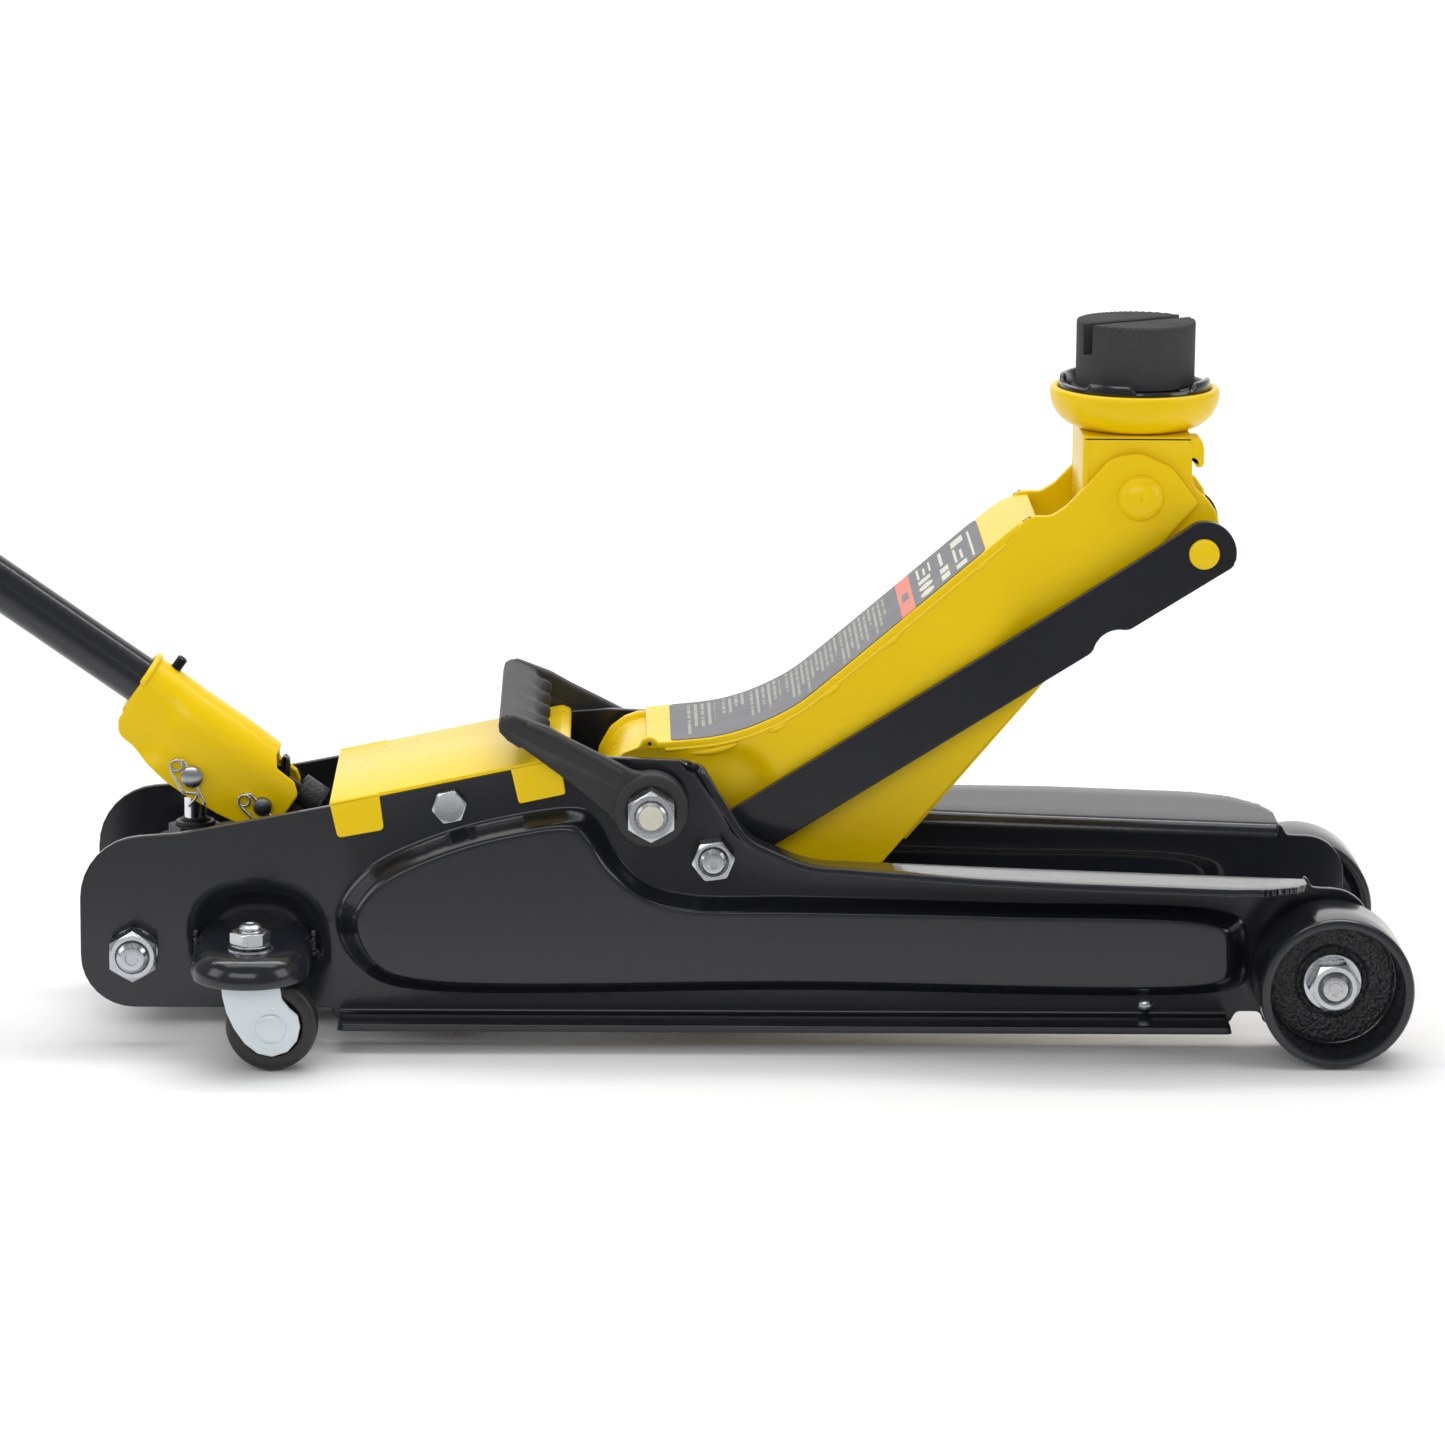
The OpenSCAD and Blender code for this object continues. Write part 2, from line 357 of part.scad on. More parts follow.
module handle_lower() color(blk) at0() tubeax() difference() {
    union() { translate([0, 0, 45]) cylinder(r = tube_r, h = 515, $fn = 64); translate([0, 0, 30]) cylinder(r = 8, h = 16, $fn = 32); translate([0, 0, 556]) cylinder(r = tube_r + 1.6, h = 10, $fn = 64); }
    translate([0, 0, 60]) cylinder(r = tube_r - 2, h = 600, $fn = 64);
    difference() { translate([0, 0, 75.6]) cylinder(r = 20, h = 6.8); translate([0, 0, 72]) cylinder(r = tube_r - 0.9, h = 14); }
    translate([-3, -10, 28]) cube([6, 20, 8]);
    translate([0, 0, 540]) rotate([90, 0, 0]) cylinder(r = 3.15, h = 30);
}
module handle_upper() color(blk) at0() tubeax() {
    difference() {
        union() { translate([0, 0, 480]) cylinder(r = tube_r - 2.4, h = 90, $fn = 64); translate([0, 0, 566.2]) cylinder(r = tube_r, h = handle_l - 566.2 - 6, $fn = 64); }
        translate([0, 0, 470]) cylinder(r = tube_r - 4.4, h = 110, $fn = 64);
        translate([0, 0, 575]) cylinder(r = tube_r - 2, h = 600, $fn = 64);
    }
    // spring button that locks the two halves
    translate([0, -9.2, 540]) rotate([90, 0, 0]) cylinder(r = 3, h = tube_r - 9.2 + 1.8, $fn = 24);
}
module handle_grip() color(rub) at0() tubeax() difference() {
    union() { translate([0, 0, handle_l - 135]) cylinder(r = grip_r - 1.5, h = 132, $fn = 64); for (i = [0:10]) translate([0, 0, handle_l - 128 + i*11.5]) cylinder(r = grip_r, h = 6, $fn = 64); translate([0, 0, handle_l - 5]) cylinder(r = grip_r, h = 5, $fn = 64); }
    translate([0, 0, handle_l - 140]) cylinder(r = tube_r + 0.02, h = 134.2, $fn = 64);
}

/* cover plate and carry handle */
module cover_plate() color(yel) at0() {
    difference() {
        xz(-64.6, 64.6) polygon([[132, 129.6], [252, 154.9], [262, 156.6], [264, 154.8], [264, 143], [262, 143], [262, 154.4], [252.4, 152.9], [132.4, 127.6]]);
        near_far() {
            translate([158, -70, 100]) cube([70, 7.4, 80]);
            translate([257, -70, 100]) cube([30, 12.6, 80]);
            translate([158, -70, 100]) cube([5, 12, 60]);
            translate([222, -70, 100]) cube([6, 12, 60]);
        }
    }
    near_far() xz(-64.6, -62.6) {
        polygon(rp([[132, 128.4, 0], [158, 133.9, 0], [160.5, 115.5, 2], [136, 111, 2]]));
        polygon(rp([[228, 148.6, 0], [257, 154.6, 0], [257, 135, 3], [232, 130, 3]]));
    }
}
module carry_handle() color(rub) at0() {
    near_far() difference() {
        union() {
            xz(-76, -62.8) translate(C) circle(20, $fn = 64);
            xz(-75, -64.9) polygon(rp([[318, 134, 0], [303, 148, 6], [272, 160, 20], [246, 174, 8], [224, 180, 6], [219, 172, 5], [222, 164, 6], [236, 160, 8], [262, 140, 20], [283, 121, 0]]));
        }
        ycyl(C, 8.15, -90, -50);
        // clear of the cover tabs
        translate([218, -66, 100]) cube([44, 10, 60]);
    }
    // grip bar with finger grooves
    difference() {
        xz(-75, 75) polygon(rp([[222, 164, 3], [219, 172, 4], [224, 180, 4], [240, 176, 5], [242, 166, 4], [232, 161, 4]]));
        for (i = [-3:3]) translate([246, i*17, 150]) cylinder(r = 8, h = 40, $fn = 32);
    }
}

side_plate_near();
side_plate_far();
caster_bracket_near();
caster_bracket_far();
caster_stems();
caster_nuts();
rear_tie_rod();
rear_tie_sleeves();
front_tie_bar();
tie_bolts();
main_pivot_shaft();
m16_nuts();
link_pivot_bolts();
link_pivot_nuts();
front_axle();
front_axle_washers();
flange_rivets();
cover_plate();
pump_block();
pump_barrel();
hydraulic_cylinder();
cylinder_gland();
filler_plug();
spring_anchor_rod();
return_spring_near();
return_spring_far();
socket_pivot_pin();
pivot_clips();
plunger_spring();
front_wheel_near();
front_wheel_far();
caster_yoke_near();
caster_yoke_far();
caster_wheel_near();
caster_wheel_far();
lift_arm();
lever_pin();
saddle_pivot_pin();
arm_label();
link_bar_near();
link_bar_far();
saddle_bracket();
saddle_cup();
link_front_pin();
saddle_dish();
saddle_pad();
ram_rod();
ram_head();
pump_plunger();
release_valve();
handle_socket();
plunger_pin();
plunger_roller();
plunger_clips();
set_screw();
handle_lower();
handle_upper();
handle_grip();
carry_handle();
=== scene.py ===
import math

import bmesh
import bpy
import numpy as np
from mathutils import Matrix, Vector
from mathutils.geometry import delaunay_2d_cdt


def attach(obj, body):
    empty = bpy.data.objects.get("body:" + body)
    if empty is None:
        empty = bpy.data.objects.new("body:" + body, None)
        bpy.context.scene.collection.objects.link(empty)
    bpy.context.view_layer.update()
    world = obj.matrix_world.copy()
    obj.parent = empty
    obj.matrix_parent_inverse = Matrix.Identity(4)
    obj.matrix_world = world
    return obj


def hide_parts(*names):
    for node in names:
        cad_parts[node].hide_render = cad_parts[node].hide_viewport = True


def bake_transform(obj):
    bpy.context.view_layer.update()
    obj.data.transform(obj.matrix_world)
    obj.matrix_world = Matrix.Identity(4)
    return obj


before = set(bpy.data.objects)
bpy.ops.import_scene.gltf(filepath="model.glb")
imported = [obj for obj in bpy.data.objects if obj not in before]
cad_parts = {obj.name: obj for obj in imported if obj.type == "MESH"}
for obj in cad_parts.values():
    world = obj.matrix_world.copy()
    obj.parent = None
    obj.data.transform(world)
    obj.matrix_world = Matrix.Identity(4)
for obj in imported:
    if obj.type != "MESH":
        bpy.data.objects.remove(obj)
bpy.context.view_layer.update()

# ---------------------------------------------------------------- shared numbers, mm, x from the rear edge of the side plates
C35, S35 = math.cos(math.radians(35)), math.sin(math.radians(35))
XM = ((94.2 - 1085 * C35 - 2 * S35) + (660.7 + 40.5)) / 2
A, Bt, C, D = (28.4, 48.5), (195, 128.5), (301, 128.5), (334, 101)
P1, P2 = (557.5, 290.5), (590.5, 263.0)
W, S, R1 = (660.7, 40.5), (94.2, 117.2), (56.8, 133.5)
LP = (301 + 65 * math.sin(math.radians(7.5)), 128.5 - 65 * math.cos(math.radians(7.5)))
SADX = 556.5
rng = np.random.default_rng(7)


# ---------------------------------------------------------------- shape tools
def rp(v, n=6):
    """Polygon with rounded corners, each entry (x, z, radius)."""
    out, k = [], len(v)
    for i in range(k):
        p, q, s = np.array(v[i - 1][:2], float), np.array(v[i][:2], float), np.array(v[(i + 1) % k][:2], float)
        r = v[i][2]
        if r <= 0:
            out.append(q)
            continue
        u, w = (p - q) / np.linalg.norm(p - q), (s - q) / np.linalg.norm(s - q)
        c = max(-0.9999, min(0.9999, float(u @ w)))
        h = math.acos(c) / 2
        t, m = r / math.tan(h), q + (u + w) / np.linalg.norm(u + w) * r / math.sin(h)
        a, b = q + u * t, q + w * t
        a0, b0 = math.atan2(*(a - m)[::-1]), math.atan2(*(b - m)[::-1])
        d = (b0 - a0 + math.pi) % (2 * math.pi) - math.pi
        out += [m + r * np.array([math.cos(a0 + d * j / n), math.sin(a0 + d * j / n)]) for j in range(n + 1)]
    return np.array(out)


def area2(P):
    return float(np.sum(P[:, 0] * np.roll(P[:, 1], -1) - np.roll(P[:, 0], -1) * P[:, 1]))


def ccw(P):
    P = np.asarray(P, float)
    return P if area2(P) > 0 else P[::-1].copy()


def dense(P, step):
    """Closed polygon with its long edges divided."""
    out = []
    for i in range(len(P)):
        a, b = P[i], P[(i + 1) % len(P)]
        n = max(1, int(math.ceil(np.linalg.norm(b - a) / step)))
        out += [a + (b - a) * k / n for k in range(n)]
    return np.array(out)


def normals2(P):
    """Outward unit normals and the mitre factor of a closed counter-clockwise polygon."""
    e1, e2 = P - np.roll(P, 1, 0), np.roll(P, -1, 0) - P
    e1 = e1 / np.maximum(np.linalg.norm(e1, axis=1, keepdims=True), 1e-9)
    e2 = e2 / np.maximum(np.linalg.norm(e2, axis=1, keepdims=True), 1e-9)
    n1, n2 = np.stack([e1[:, 1], -e1[:, 0]], 1), np.stack([e2[:, 1], -e2[:, 0]], 1)
    b = n1 + n2
    k = 1 + np.sum(n1 * n2, 1, keepdims=True)
    return b / np.maximum(k, 0.35)


def inset(P, d):
    return P - normals2(P) * d


def spline(P, m, closed=True):
    """Centripetal Catmull-Rom through the points, m samples on each span."""
    P = np.asarray(P, float)
    n = len(P)
    out = []
    for i in range(n if closed else n - 1):
        if closed:
            p = [P[(i + k - 1) % n] for k in range(4)]
        else:
            p = [P[max(i - 1, 0)], P[i], P[i + 1], P[min(i + 2, n - 1)]]
            if i == 0:
                p[0] = 2 * p[1] - p[2]
            if i == n - 2:
                p[3] = 2 * p[2] - p[1]
        t = [0.0]
        for k in range(3):
            t.append(t[-1] + max(np.linalg.norm(p[k + 1] - p[k]), 1e-6) ** 0.5)
        for s in range(m):
            u = t[1] + (t[2] - t[1]) * s / m
            a1 = (t[1] - u) / (t[1] - t[0]) * p[0] + (u - t[0]) / (t[1] - t[0]) * p[1]
            a2 = (t[2] - u) / (t[2] - t[1]) * p[1] + (u - t[1]) / (t[2] - t[1]) * p[2]
            a3 = (t[3] - u) / (t[3] - t[2]) * p[2] + (u - t[2]) / (t[3] - t[2]) * p[3]
            b1 = (t[2] - u) / (t[2] - t[0]) * a1 + (u - t[0]) / (t[2] - t[0]) * a2
            b2 = (t[3] - u) / (t[3] - t[1]) * a2 + (u - t[1]) / (t[3] - t[1]) * a3
            out.append((t[2] - u) / (t[2] - t[1]) * b1 + (u - t[1]) / (t[2] - t[1]) * b2)
    if not closed:
        out.append(P[-1])
    return np.array(out)


class Shape:
    """Closed shells gathered into one mesh, in mm."""

    def __init__(self):
        self.V, self.F, self.n = [], [], 0

    def add(self, V, F):
        V = np.asarray(V, float).reshape(-1, 3)
        self.V.append(V)
        self.F += [tuple(int(i) + self.n for i in f) for f in F]
        self.n += len(V)
        return self

    def loft(self, loops, caps=True, ring=False):
        """Closed loops of the same length joined in order; ring joins the last to the first."""
        loops = [np.asarray(l, float) for l in loops]
        K, M = len(loops), len(loops[0])
        F = []
        for k in range(K if ring else K - 1):
            a, b = k * M, ((k + 1) % K) * M
            F += [(a + i, a + (i + 1) % M, b + (i + 1) % M, b + i) for i in range(M)]
        if caps and not ring:
            F += [tuple(range(M - 1, -1, -1)), tuple((K - 1) * M + i for i in range(M))]
        return self.add(np.concatenate(loops), F)

    def slab(self, out, y0, y1, r=0.8, n=3, put=None):
        """Flat piece with rounded edges between two planes."""
        P = ccw(out)
        put = put or (lambda p, h: np.column_stack([p[:, 0], np.full(len(p), h), p[:, 1]]))
        prof = [(r + 0.5, 0.0)] + [(r * (1 - math.sin(a)), r * (1 - math.cos(a))) for a in np.linspace(0, math.pi / 2, n + 1)]
        loops = [put(inset(P, d), y0 + h) for d, h in prof] + [put(inset(P, d), y1 - h) for d, h in prof[::-1]]
        return self.loft(loops)

    def lathe(self, prof, put, n=64, ring=False):
        """Profile of (radius, height); put(x, y, h) places a point. A radius of 0 makes a pole."""
        V, idx = [], []
        for r, h in prof:
            if r < 1e-6:
                idx.append([len(V)] * n)
                V.append(put(0.0, 0.0, h))
            else:
                idx.append(list(range(len(V), len(V) + n)))
                V += [put(r * math.cos(2 * math.pi * i / n), r * math.sin(2 * math.pi * i / n), h) for i in range(n)]
        F = []
        K = len(prof)
        for k in range(K if ring else K - 1):
            a, b = idx[k], idx[(k + 1) % K]
            for i in range(n):
                j = (i + 1) % n
                f = [a[i], a[j], b[j], b[i]]
                f = [v for q, v in enumerate(f) if v != f[q - 1]]
                if len(f) > 2:
                    F.append(tuple(f))
        if not ring:
            if prof[0][0] > 1e-6:
                F.append(tuple(idx[0][::-1]))
            if prof[-1][0] > 1e-6:
                F.append(tuple(idx[-1]))
        return self.add(V, F)

    def tube(self, path, r, n=10, closed=False):
        """Round wire along a path."""
        path = np.asarray(path, float)
        K = len(path)
        if closed:
            T = np.roll(path, -1, 0) - np.roll(path, 1, 0)
        else:
            T = np.gradient(path, axis=0)
        T /= np.linalg.norm(T, axis=1, keepdims=True)
        u = np.cross(T[0], [0, 0, 1.0])
        if np.linalg.norm(u) < 1e-3:
            u = np.cross(T[0], [0, 1.0, 0])
        loops = []
        rad = np.full(K, r) if np.isscalar(r) else np.asarray(r, float)
        for k in range(K):
            u = u - T[k] * (u @ T[k])
            u /= np.linalg.norm(u)
            w = np.cross(T[k], u)
            a = np.linspace(0, 2 * math.pi, n, endpoint=False)
            loops.append(path[k] + rad[k] * (np.cos(a)[:, None] * u + np.sin(a)[:, None] * w))
        if not closed:
            c0, c1 = path[0], path[-1]
            pre = [c0 + (loops[0] - c0) * q - T[0] * rad[0] * g for q, g in ((0.35, 0.5), (0.75, 0.3))]
            post = [c1 + (loops[-1] - c1) * q + T[-1] * rad[-1] * g for q, g in ((0.75, 0.3), (0.35, 0.5))]
            loops = pre + loops + post
        return self.loft(loops, ring=closed)


def to_y(p, s=-1):
    """Axis along Y through p; a height h lies at y = s * h."""
    return lambda x, y, h: (p[0] + x, s * h, p[1] + y)


def to_z(x0, y0):
    return lambda x, y, h: (x0 + x, y0 + y, h)


def tubeax(a, v, b):
    """Handle frame: a up the handle from the socket pivot, v across, b square to it (tube axis at 15)."""
    a, v, b = np.asarray(a, float), np.asarray(v, float), np.asarray(b, float)
    return np.stack([S[0] - C35 * a + S35 * b, v + 0 * a, S[1] + S35 * a + C35 * b], -1)


def to_tube(x, y, h):
    return tuple(tubeax(h, y, 15 + x))


def make(name, shape, mat, body, rep=(), ang=32, far=False, merge=2e-6):
    V = np.concatenate(shape.V).copy()
    F = shape.F
    if far:
        V[:, 1] *= -1
        F = [f[::-1] for f in F]
    V[:, 0] -= XM
    V /= 1000
    me = bpy.data.meshes.new(name)
    me.from_pydata(V.tolist(), [], [list(f) for f in F])
    bm = bmesh.new()
    bm.from_mesh(me)
    bmesh.ops.remove_doubles(bm, verts=bm.verts, dist=merge)
    bmesh.ops.dissolve_degenerate(bm, edges=bm.edges, dist=merge)
    bmesh.ops.recalc_face_normals(bm, faces=bm.faces)
    bm.to_mesh(me)
    bm.free()
    me.materials.append(mat)
    me.polygons.foreach_set("use_smooth", [True] * len(me.polygons))
    me.set_sharp_from_angle(angle=math.radians(ang))
    o = bpy.data.objects.new(name, me)
    bpy.context.scene.collection.objects.link(o)
    if body:
        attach(o, body)
    if rep:
        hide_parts(*rep)
    return o


def nut(sh, p, af, y0, y1, turn, bore, side, put=None, n=72):
    """Hexagon nut with both faces chamfered; y grows outward on that side."""
    put = put or to_y(p, side)
    th = np.array([2 * math.pi * i / n for i in range(n)])
    rel = (np.degrees(th) - turn) % 60 - 30
    R = (af / 2) / np.cos(np.radians(rel))
    rc = af / 2 * 0.955
    ch = np.maximum(0, (R - rc)) * 0.5

    def ring(r, h):
        r, h = np.broadcast_to(r, n), np.broadcast_to(h, n)
        return [put(r[i] * math.cos(th[i]), r[i] * math.sin(th[i]), h[i]) for i in range(n)]

    sh.loft([ring(bore, y0), ring(rc, y0), ring(R, y0 + ch), ring(R, y1 - ch), ring(rc, y1), ring(bore + 1.1, y1), ring(bore, y1 - 0.9)], caps=False, ring=True)
    return sh


def hexhead(sh, p, af, y0, y1, turn, side, put=None, n=72):
    put = put or to_y(p, side)
    th = np.array([2 * math.pi * i / n for i in range(n)])
    rel = (np.degrees(th) - turn) % 60 - 30
    R = (af / 2) / np.cos(np.radians(rel))
    rc = af / 2 * 0.955
    ch = np.maximum(0, (R - rc)) * 0.5

    def ring(r, h):
        r, h = np.broadcast_to(r, n), np.broadcast_to(h, n)
        return [put(r[i] * math.cos(th[i]), r[i] * math.sin(th[i]), h[i]) for i in range(n)]

    sh.loft([ring(2.0, y0), ring(rc, y0), ring(R, y0 + 0.3), ring(R, y1 - ch), ring(rc, y1), ring(rc - 1.2, y1 - 0.12), ring(rc * 0.55, y1 - 0.35), ring(1.0, y1 - 0.35)])
    return sh


def thread(r, y0, y1, pitch=1.5, depth=0.75, tip=1.2):
    """Profile of a threaded bolt end."""
    prof, h = [], y0
    while h < y1 - tip - pitch:
        prof += [(r, h), (r, h + pitch * 0.12), (r - depth, h + pitch * 0.5), (r, h + pitch * 0.88)]
        h += pitch
    prof += [(r, h), (r, y1 - tip), (r - tip, y1 - 0.12), (r - tip - 0.5, y1), (r * 0.45, y1), (r * 0.4, y1 - 0.25), (0, y1 - 0.3)]
    return prof


# ---------------------------------------------------------------- materials
def material(name, col, rough, metal=0.0, mottle=0.06, mottle_scale=38, rvar=0.08, peel=0.00012, peel_scale=420, fine=0.0, fine_scale=2600,
             coat=0.0, coat_rough=0.1, edge_wear_and_highlight=None, edge_wear_and_highlight_amt=0.35, spec=0.5, streak=None, pits=0.0, pit_scale=500, dark=None, dark_amt=0.0):
    m = bpy.data.materials.new(name)
    m.use_nodes = True
    nt = m.node_tree
    N, L = nt.nodes, nt.links
    N.clear()
    out = N.new("ShaderNodeOutputMaterial")
    sh = N.new("ShaderNodeBsdfPrincipled")
    L.new(sh.outputs[0], out.inputs[0])
    sh.inputs["Metallic"].default_value = metal
    sh.inputs["Specular IOR Level"].default_value = spec
    sh.inputs["Coat Weight"].default_value = coat
    sh.inputs["Coat Roughness"].default_value = coat_rough
    tc = N.new("ShaderNodeTexCoord")
    src = tc.outputs["Object"]
    if streak:
        mp = N.new("ShaderNodeMapping")
        mp.inputs["Scale"].default_value = streak
        L.new(src, mp.inputs["Vector"])
        src2 = mp.outputs[0]
    else:
        src2 = src

    def noise(scale, detail, vec, rough=0.55):
        n = N.new("ShaderNodeTexNoise")
        n.inputs["Scale"].default_value = scale
        n.inputs["Detail"].default_value = detail
        n.inputs["Roughness"].default_value = rough
        L.new(vec, n.inputs["Vector"])
        return n.outputs["Fac"]

    big = noise(mottle_scale, 5, src)
    mid = noise(peel_scale, 3, src2)
    # colour: mottled between a darker and a lighter tone
    ramp = N.new("ShaderNodeMix")
    ramp.data_type = "RGBA"
    a = [max(0.0, c * (1 - mottle)) for c in col] + [1]
    b = [min(1.0, c * (1 + mottle)) for c in col] + [1]
    ramp.inputs["A"].default_value, ramp.inputs["B"].default_value = a, b
    L.new(big, ramp.inputs["Factor"])
    colour = ramp.outputs["Result"]
    if dark is not None:
        dr = N.new("ShaderNodeMapRange")
        dr.inputs["From Min"].default_value, dr.inputs["From Max"].default_value = 0.55, 0.8
        dr.inputs["To Min"].default_value, dr.inputs["To Max"].default_value = 0.0, dark_amt
        L.new(noise(mottle_scale * 5, 6, src, 0.7), dr.inputs["Value"])
        mx = N.new("ShaderNodeMix")
        mx.data_type = "RGBA"
        mx.inputs["B"].default_value = list(dark) + [1]
        L.new(dr.outputs[0], mx.inputs["Factor"])
        L.new(colour, mx.inputs["A"])
        colour = mx.outputs["Result"]
    # Painted highlight and wear: convex edges, found by pointiness, are mixed toward a lighter colour under a noise
    # mask. This is partly edge wear and partly a painted edge highlight.
    if edge_wear_and_highlight is not None:
        geo = N.new("ShaderNodeNewGeometry")
        mr = N.new("ShaderNodeMapRange")
        mr.inputs["From Min"].default_value, mr.inputs["From Max"].default_value = 0.53, 0.62
        mr.inputs["To Min"].default_value, mr.inputs["To Max"].default_value = 0.0, edge_wear_and_highlight_amt
        L.new(geo.outputs["Pointiness"], mr.inputs["Value"])
        mul = N.new("ShaderNodeMath")
        mul.operation = "MULTIPLY"
        L.new(mr.outputs[0], mul.inputs[0])
        L.new(noise(220, 4, src, 0.65), mul.inputs[1])
        mx = N.new("ShaderNodeMix")
        mx.data_type = "RGBA"
        mx.inputs["B"].default_value = list(edge_wear_and_highlight) + [1]
        L.new(mul.outputs[0], mx.inputs["Factor"])
        L.new(colour, mx.inputs["A"])
        colour = mx.outputs["Result"]
    L.new(colour, sh.inputs["Base Color"])
    rr = N.new("ShaderNodeMapRange")
    rr.inputs["From Min"].default_value, rr.inputs["From Max"].default_value = 0.3, 0.7
    rr.inputs["To Min"].default_value, rr.inputs["To Max"].default_value = max(0.02, rough - rvar), min(1.0, rough + rvar)
    mixr = N.new("ShaderNodeMath")
    mixr.operation = "MULTIPLY_ADD"
    L.new(mid, mixr.inputs[0])
    mixr.inputs[1].default_value = 0.5
    half = N.new("ShaderNodeMath")
    half.operation = "MULTIPLY"
    half.inputs[1].default_value = 0.5
    L.new(big, half.inputs[0])
    L.new(half.outputs[0], mixr.inputs[2])
    L.new(mixr.outputs[0], rr.inputs["Value"])
    L.new(rr.outputs[0], sh.inputs["Roughness"])
    # bump: orange peel, then a finer grain, then pits
    last = None
    for h, dist in ((mid, peel), (noise(fine_scale, 2, src2) if fine else None, fine)):
        if h is None or not dist:
            continue
        bp = N.new("ShaderNodeBump")
        bp.inputs["Strength"].default_value = 1.0
        bp.inputs["Distance"].default_value = dist
        L.new(h, bp.inputs["Height"])
        if last:
            L.new(last, bp.inputs["Normal"])
        last = bp.outputs[0]
    if pits:
        vo = N.new("ShaderNodeTexVoronoi")
        vo.inputs["Scale"].default_value = pit_scale
        L.new(src, vo.inputs["Vector"])
        bp = N.new("ShaderNodeBump")
        bp.inputs["Distance"].default_value = pits
        L.new(vo.outputs["Distance"], bp.inputs["Height"])
        if last:
            L.new(last, bp.inputs["Normal"])
        last = bp.outputs[0]
    if last:
        L.new(last, sh.inputs["Normal"])
        if coat:
            L.new(last, sh.inputs["Coat Normal"])
    m.diffuse_color = list(col) + [1]
    return m


YEL = material("yellow_paint", (0.875, 0.598, 0.0005), 0.30, spec=0.2, mottle=0.035, mottle_scale=16, rvar=0.07, peel=0.00010, peel_scale=330, fine=0.00002, coat=0.12, coat_rough=0.10, edge_wear_and_highlight=(0.93, 0.75, 0.12), edge_wear_and_highlight_amt=0.5, dark=(0.70, 0.47, 0.0), dark_amt=0.07)
YELR = material("yellow_paint_cast", (0.875, 0.598, 0.0005), 0.33, spec=0.2, mottle=0.04, mottle_scale=22, rvar=0.08, peel=0.00026, peel_scale=210, fine=0.00004, coat=0.15, coat_rough=0.15, edge_wear_and_highlight=(0.93, 0.75, 0.12), edge_wear_and_highlight_amt=0.5, dark=(0.70, 0.47, 0.0), dark_amt=0.07)
BLK = material("black_gloss", (0.0135, 0.0145, 0.019), 0.17, spec=0.45, mottle=0.15, mottle_scale=14, rvar=0.05, peel=0.00005, peel_scale=260, fine=0.00001, coat=0.15, coat_rough=0.06, edge_wear_and_highlight=(0.10, 0.10, 0.11), edge_wear_and_highlight_amt=0.5, dark=(0.013, 0.013, 0.016), dark_amt=0.4)
BLKR = material("black_cast", (0.010, 0.0105, 0.013), 0.34, mottle=0.3, mottle_scale=60, rvar=0.10, peel=0.0006, peel_scale=260, fine=0.00014, fine_scale=900, coat=0.25, coat_rough=0.2, edge_wear_and_highlight=(0.10, 0.10, 0.11), edge_wear_and_highlight_amt=0.6, pits=0.0004, pit_scale=420)
RGH = material("black_rough_cast", (0.012, 0.0125, 0.015), 0.30, spec=0.6, mottle=0.35, mottle_scale=160, rvar=0.12, peel=0.0011, peel_scale=430, fine=0.0005, fine_scale=1100, coat=0.3, coat_rough=0.15, edge_wear_and_highlight=(0.12, 0.12, 0.13), edge_wear_and_highlight_amt=0.6, pits=0.0006, pit_scale=520)
ZNC = material("zinc_plate", (0.50, 0.52, 0.545), 0.24, metal=1.0, mottle=0.10, mottle_scale=120, rvar=0.10, peel=0.00005, peel_scale=700, fine=0.00002, edge_wear_and_highlight=(0.85, 0.86, 0.88), edge_wear_and_highlight_amt=0.6, dark=(0.36, 0.37, 0.40), dark_amt=0.5)
STL = material("steel_turned", (0.50, 0.50, 0.51), 0.28, metal=1.0, mottle=0.10, mottle_scale=60, rvar=0.10, peel=0.00005, peel_scale=500, fine=0.00002, streak=(1, 14, 1), edge_wear_and_highlight=(0.75, 0.75, 0.77), edge_wear_and_highlight_amt=0.5, dark=(0.28, 0.27, 0.26), dark_amt=0.5)
PIN = material("dark_pin", (0.16, 0.165, 0.18), 0.36, metal=1.0, mottle=0.2, mottle_scale=150, rvar=0.12, peel=0.00008, peel_scale=800, fine=0.00003, edge_wear_and_highlight=(0.45, 0.46, 0.48), edge_wear_and_highlight_amt=0.7)
CRM = material("hard_chrome", (0.70, 0.71, 0.73), 0.10, metal=1.0, mottle=0.05, mottle_scale=60, rvar=0.05, peel=0.00001, peel_scale=900, streak=(1, 1, 18), edge_wear_and_highlight=(0.85, 0.86, 0.88), edge_wear_and_highlight_amt=0.3)
SPR = material("spring_wire", (0.36, 0.36, 0.37), 0.26, metal=1.0, mottle=0.2, mottle_scale=200, rvar=0.1, peel=0.00003, peel_scale=900, edge_wear_and_highlight=(0.6, 0.6, 0.62), edge_wear_and_highlight_amt=0.5)
UNI = material("unit_paint", (0.022, 0.023, 0.027), 0.42, mottle=0.25, mottle_scale=45, rvar=0.12, peel=0.00035, peel_scale=300, fine=0.00006, edge_wear_and_highlight=(0.2, 0.2, 0.21), edge_wear_and_highlight_amt=0.5, pits=0.0002, pit_scale=600)
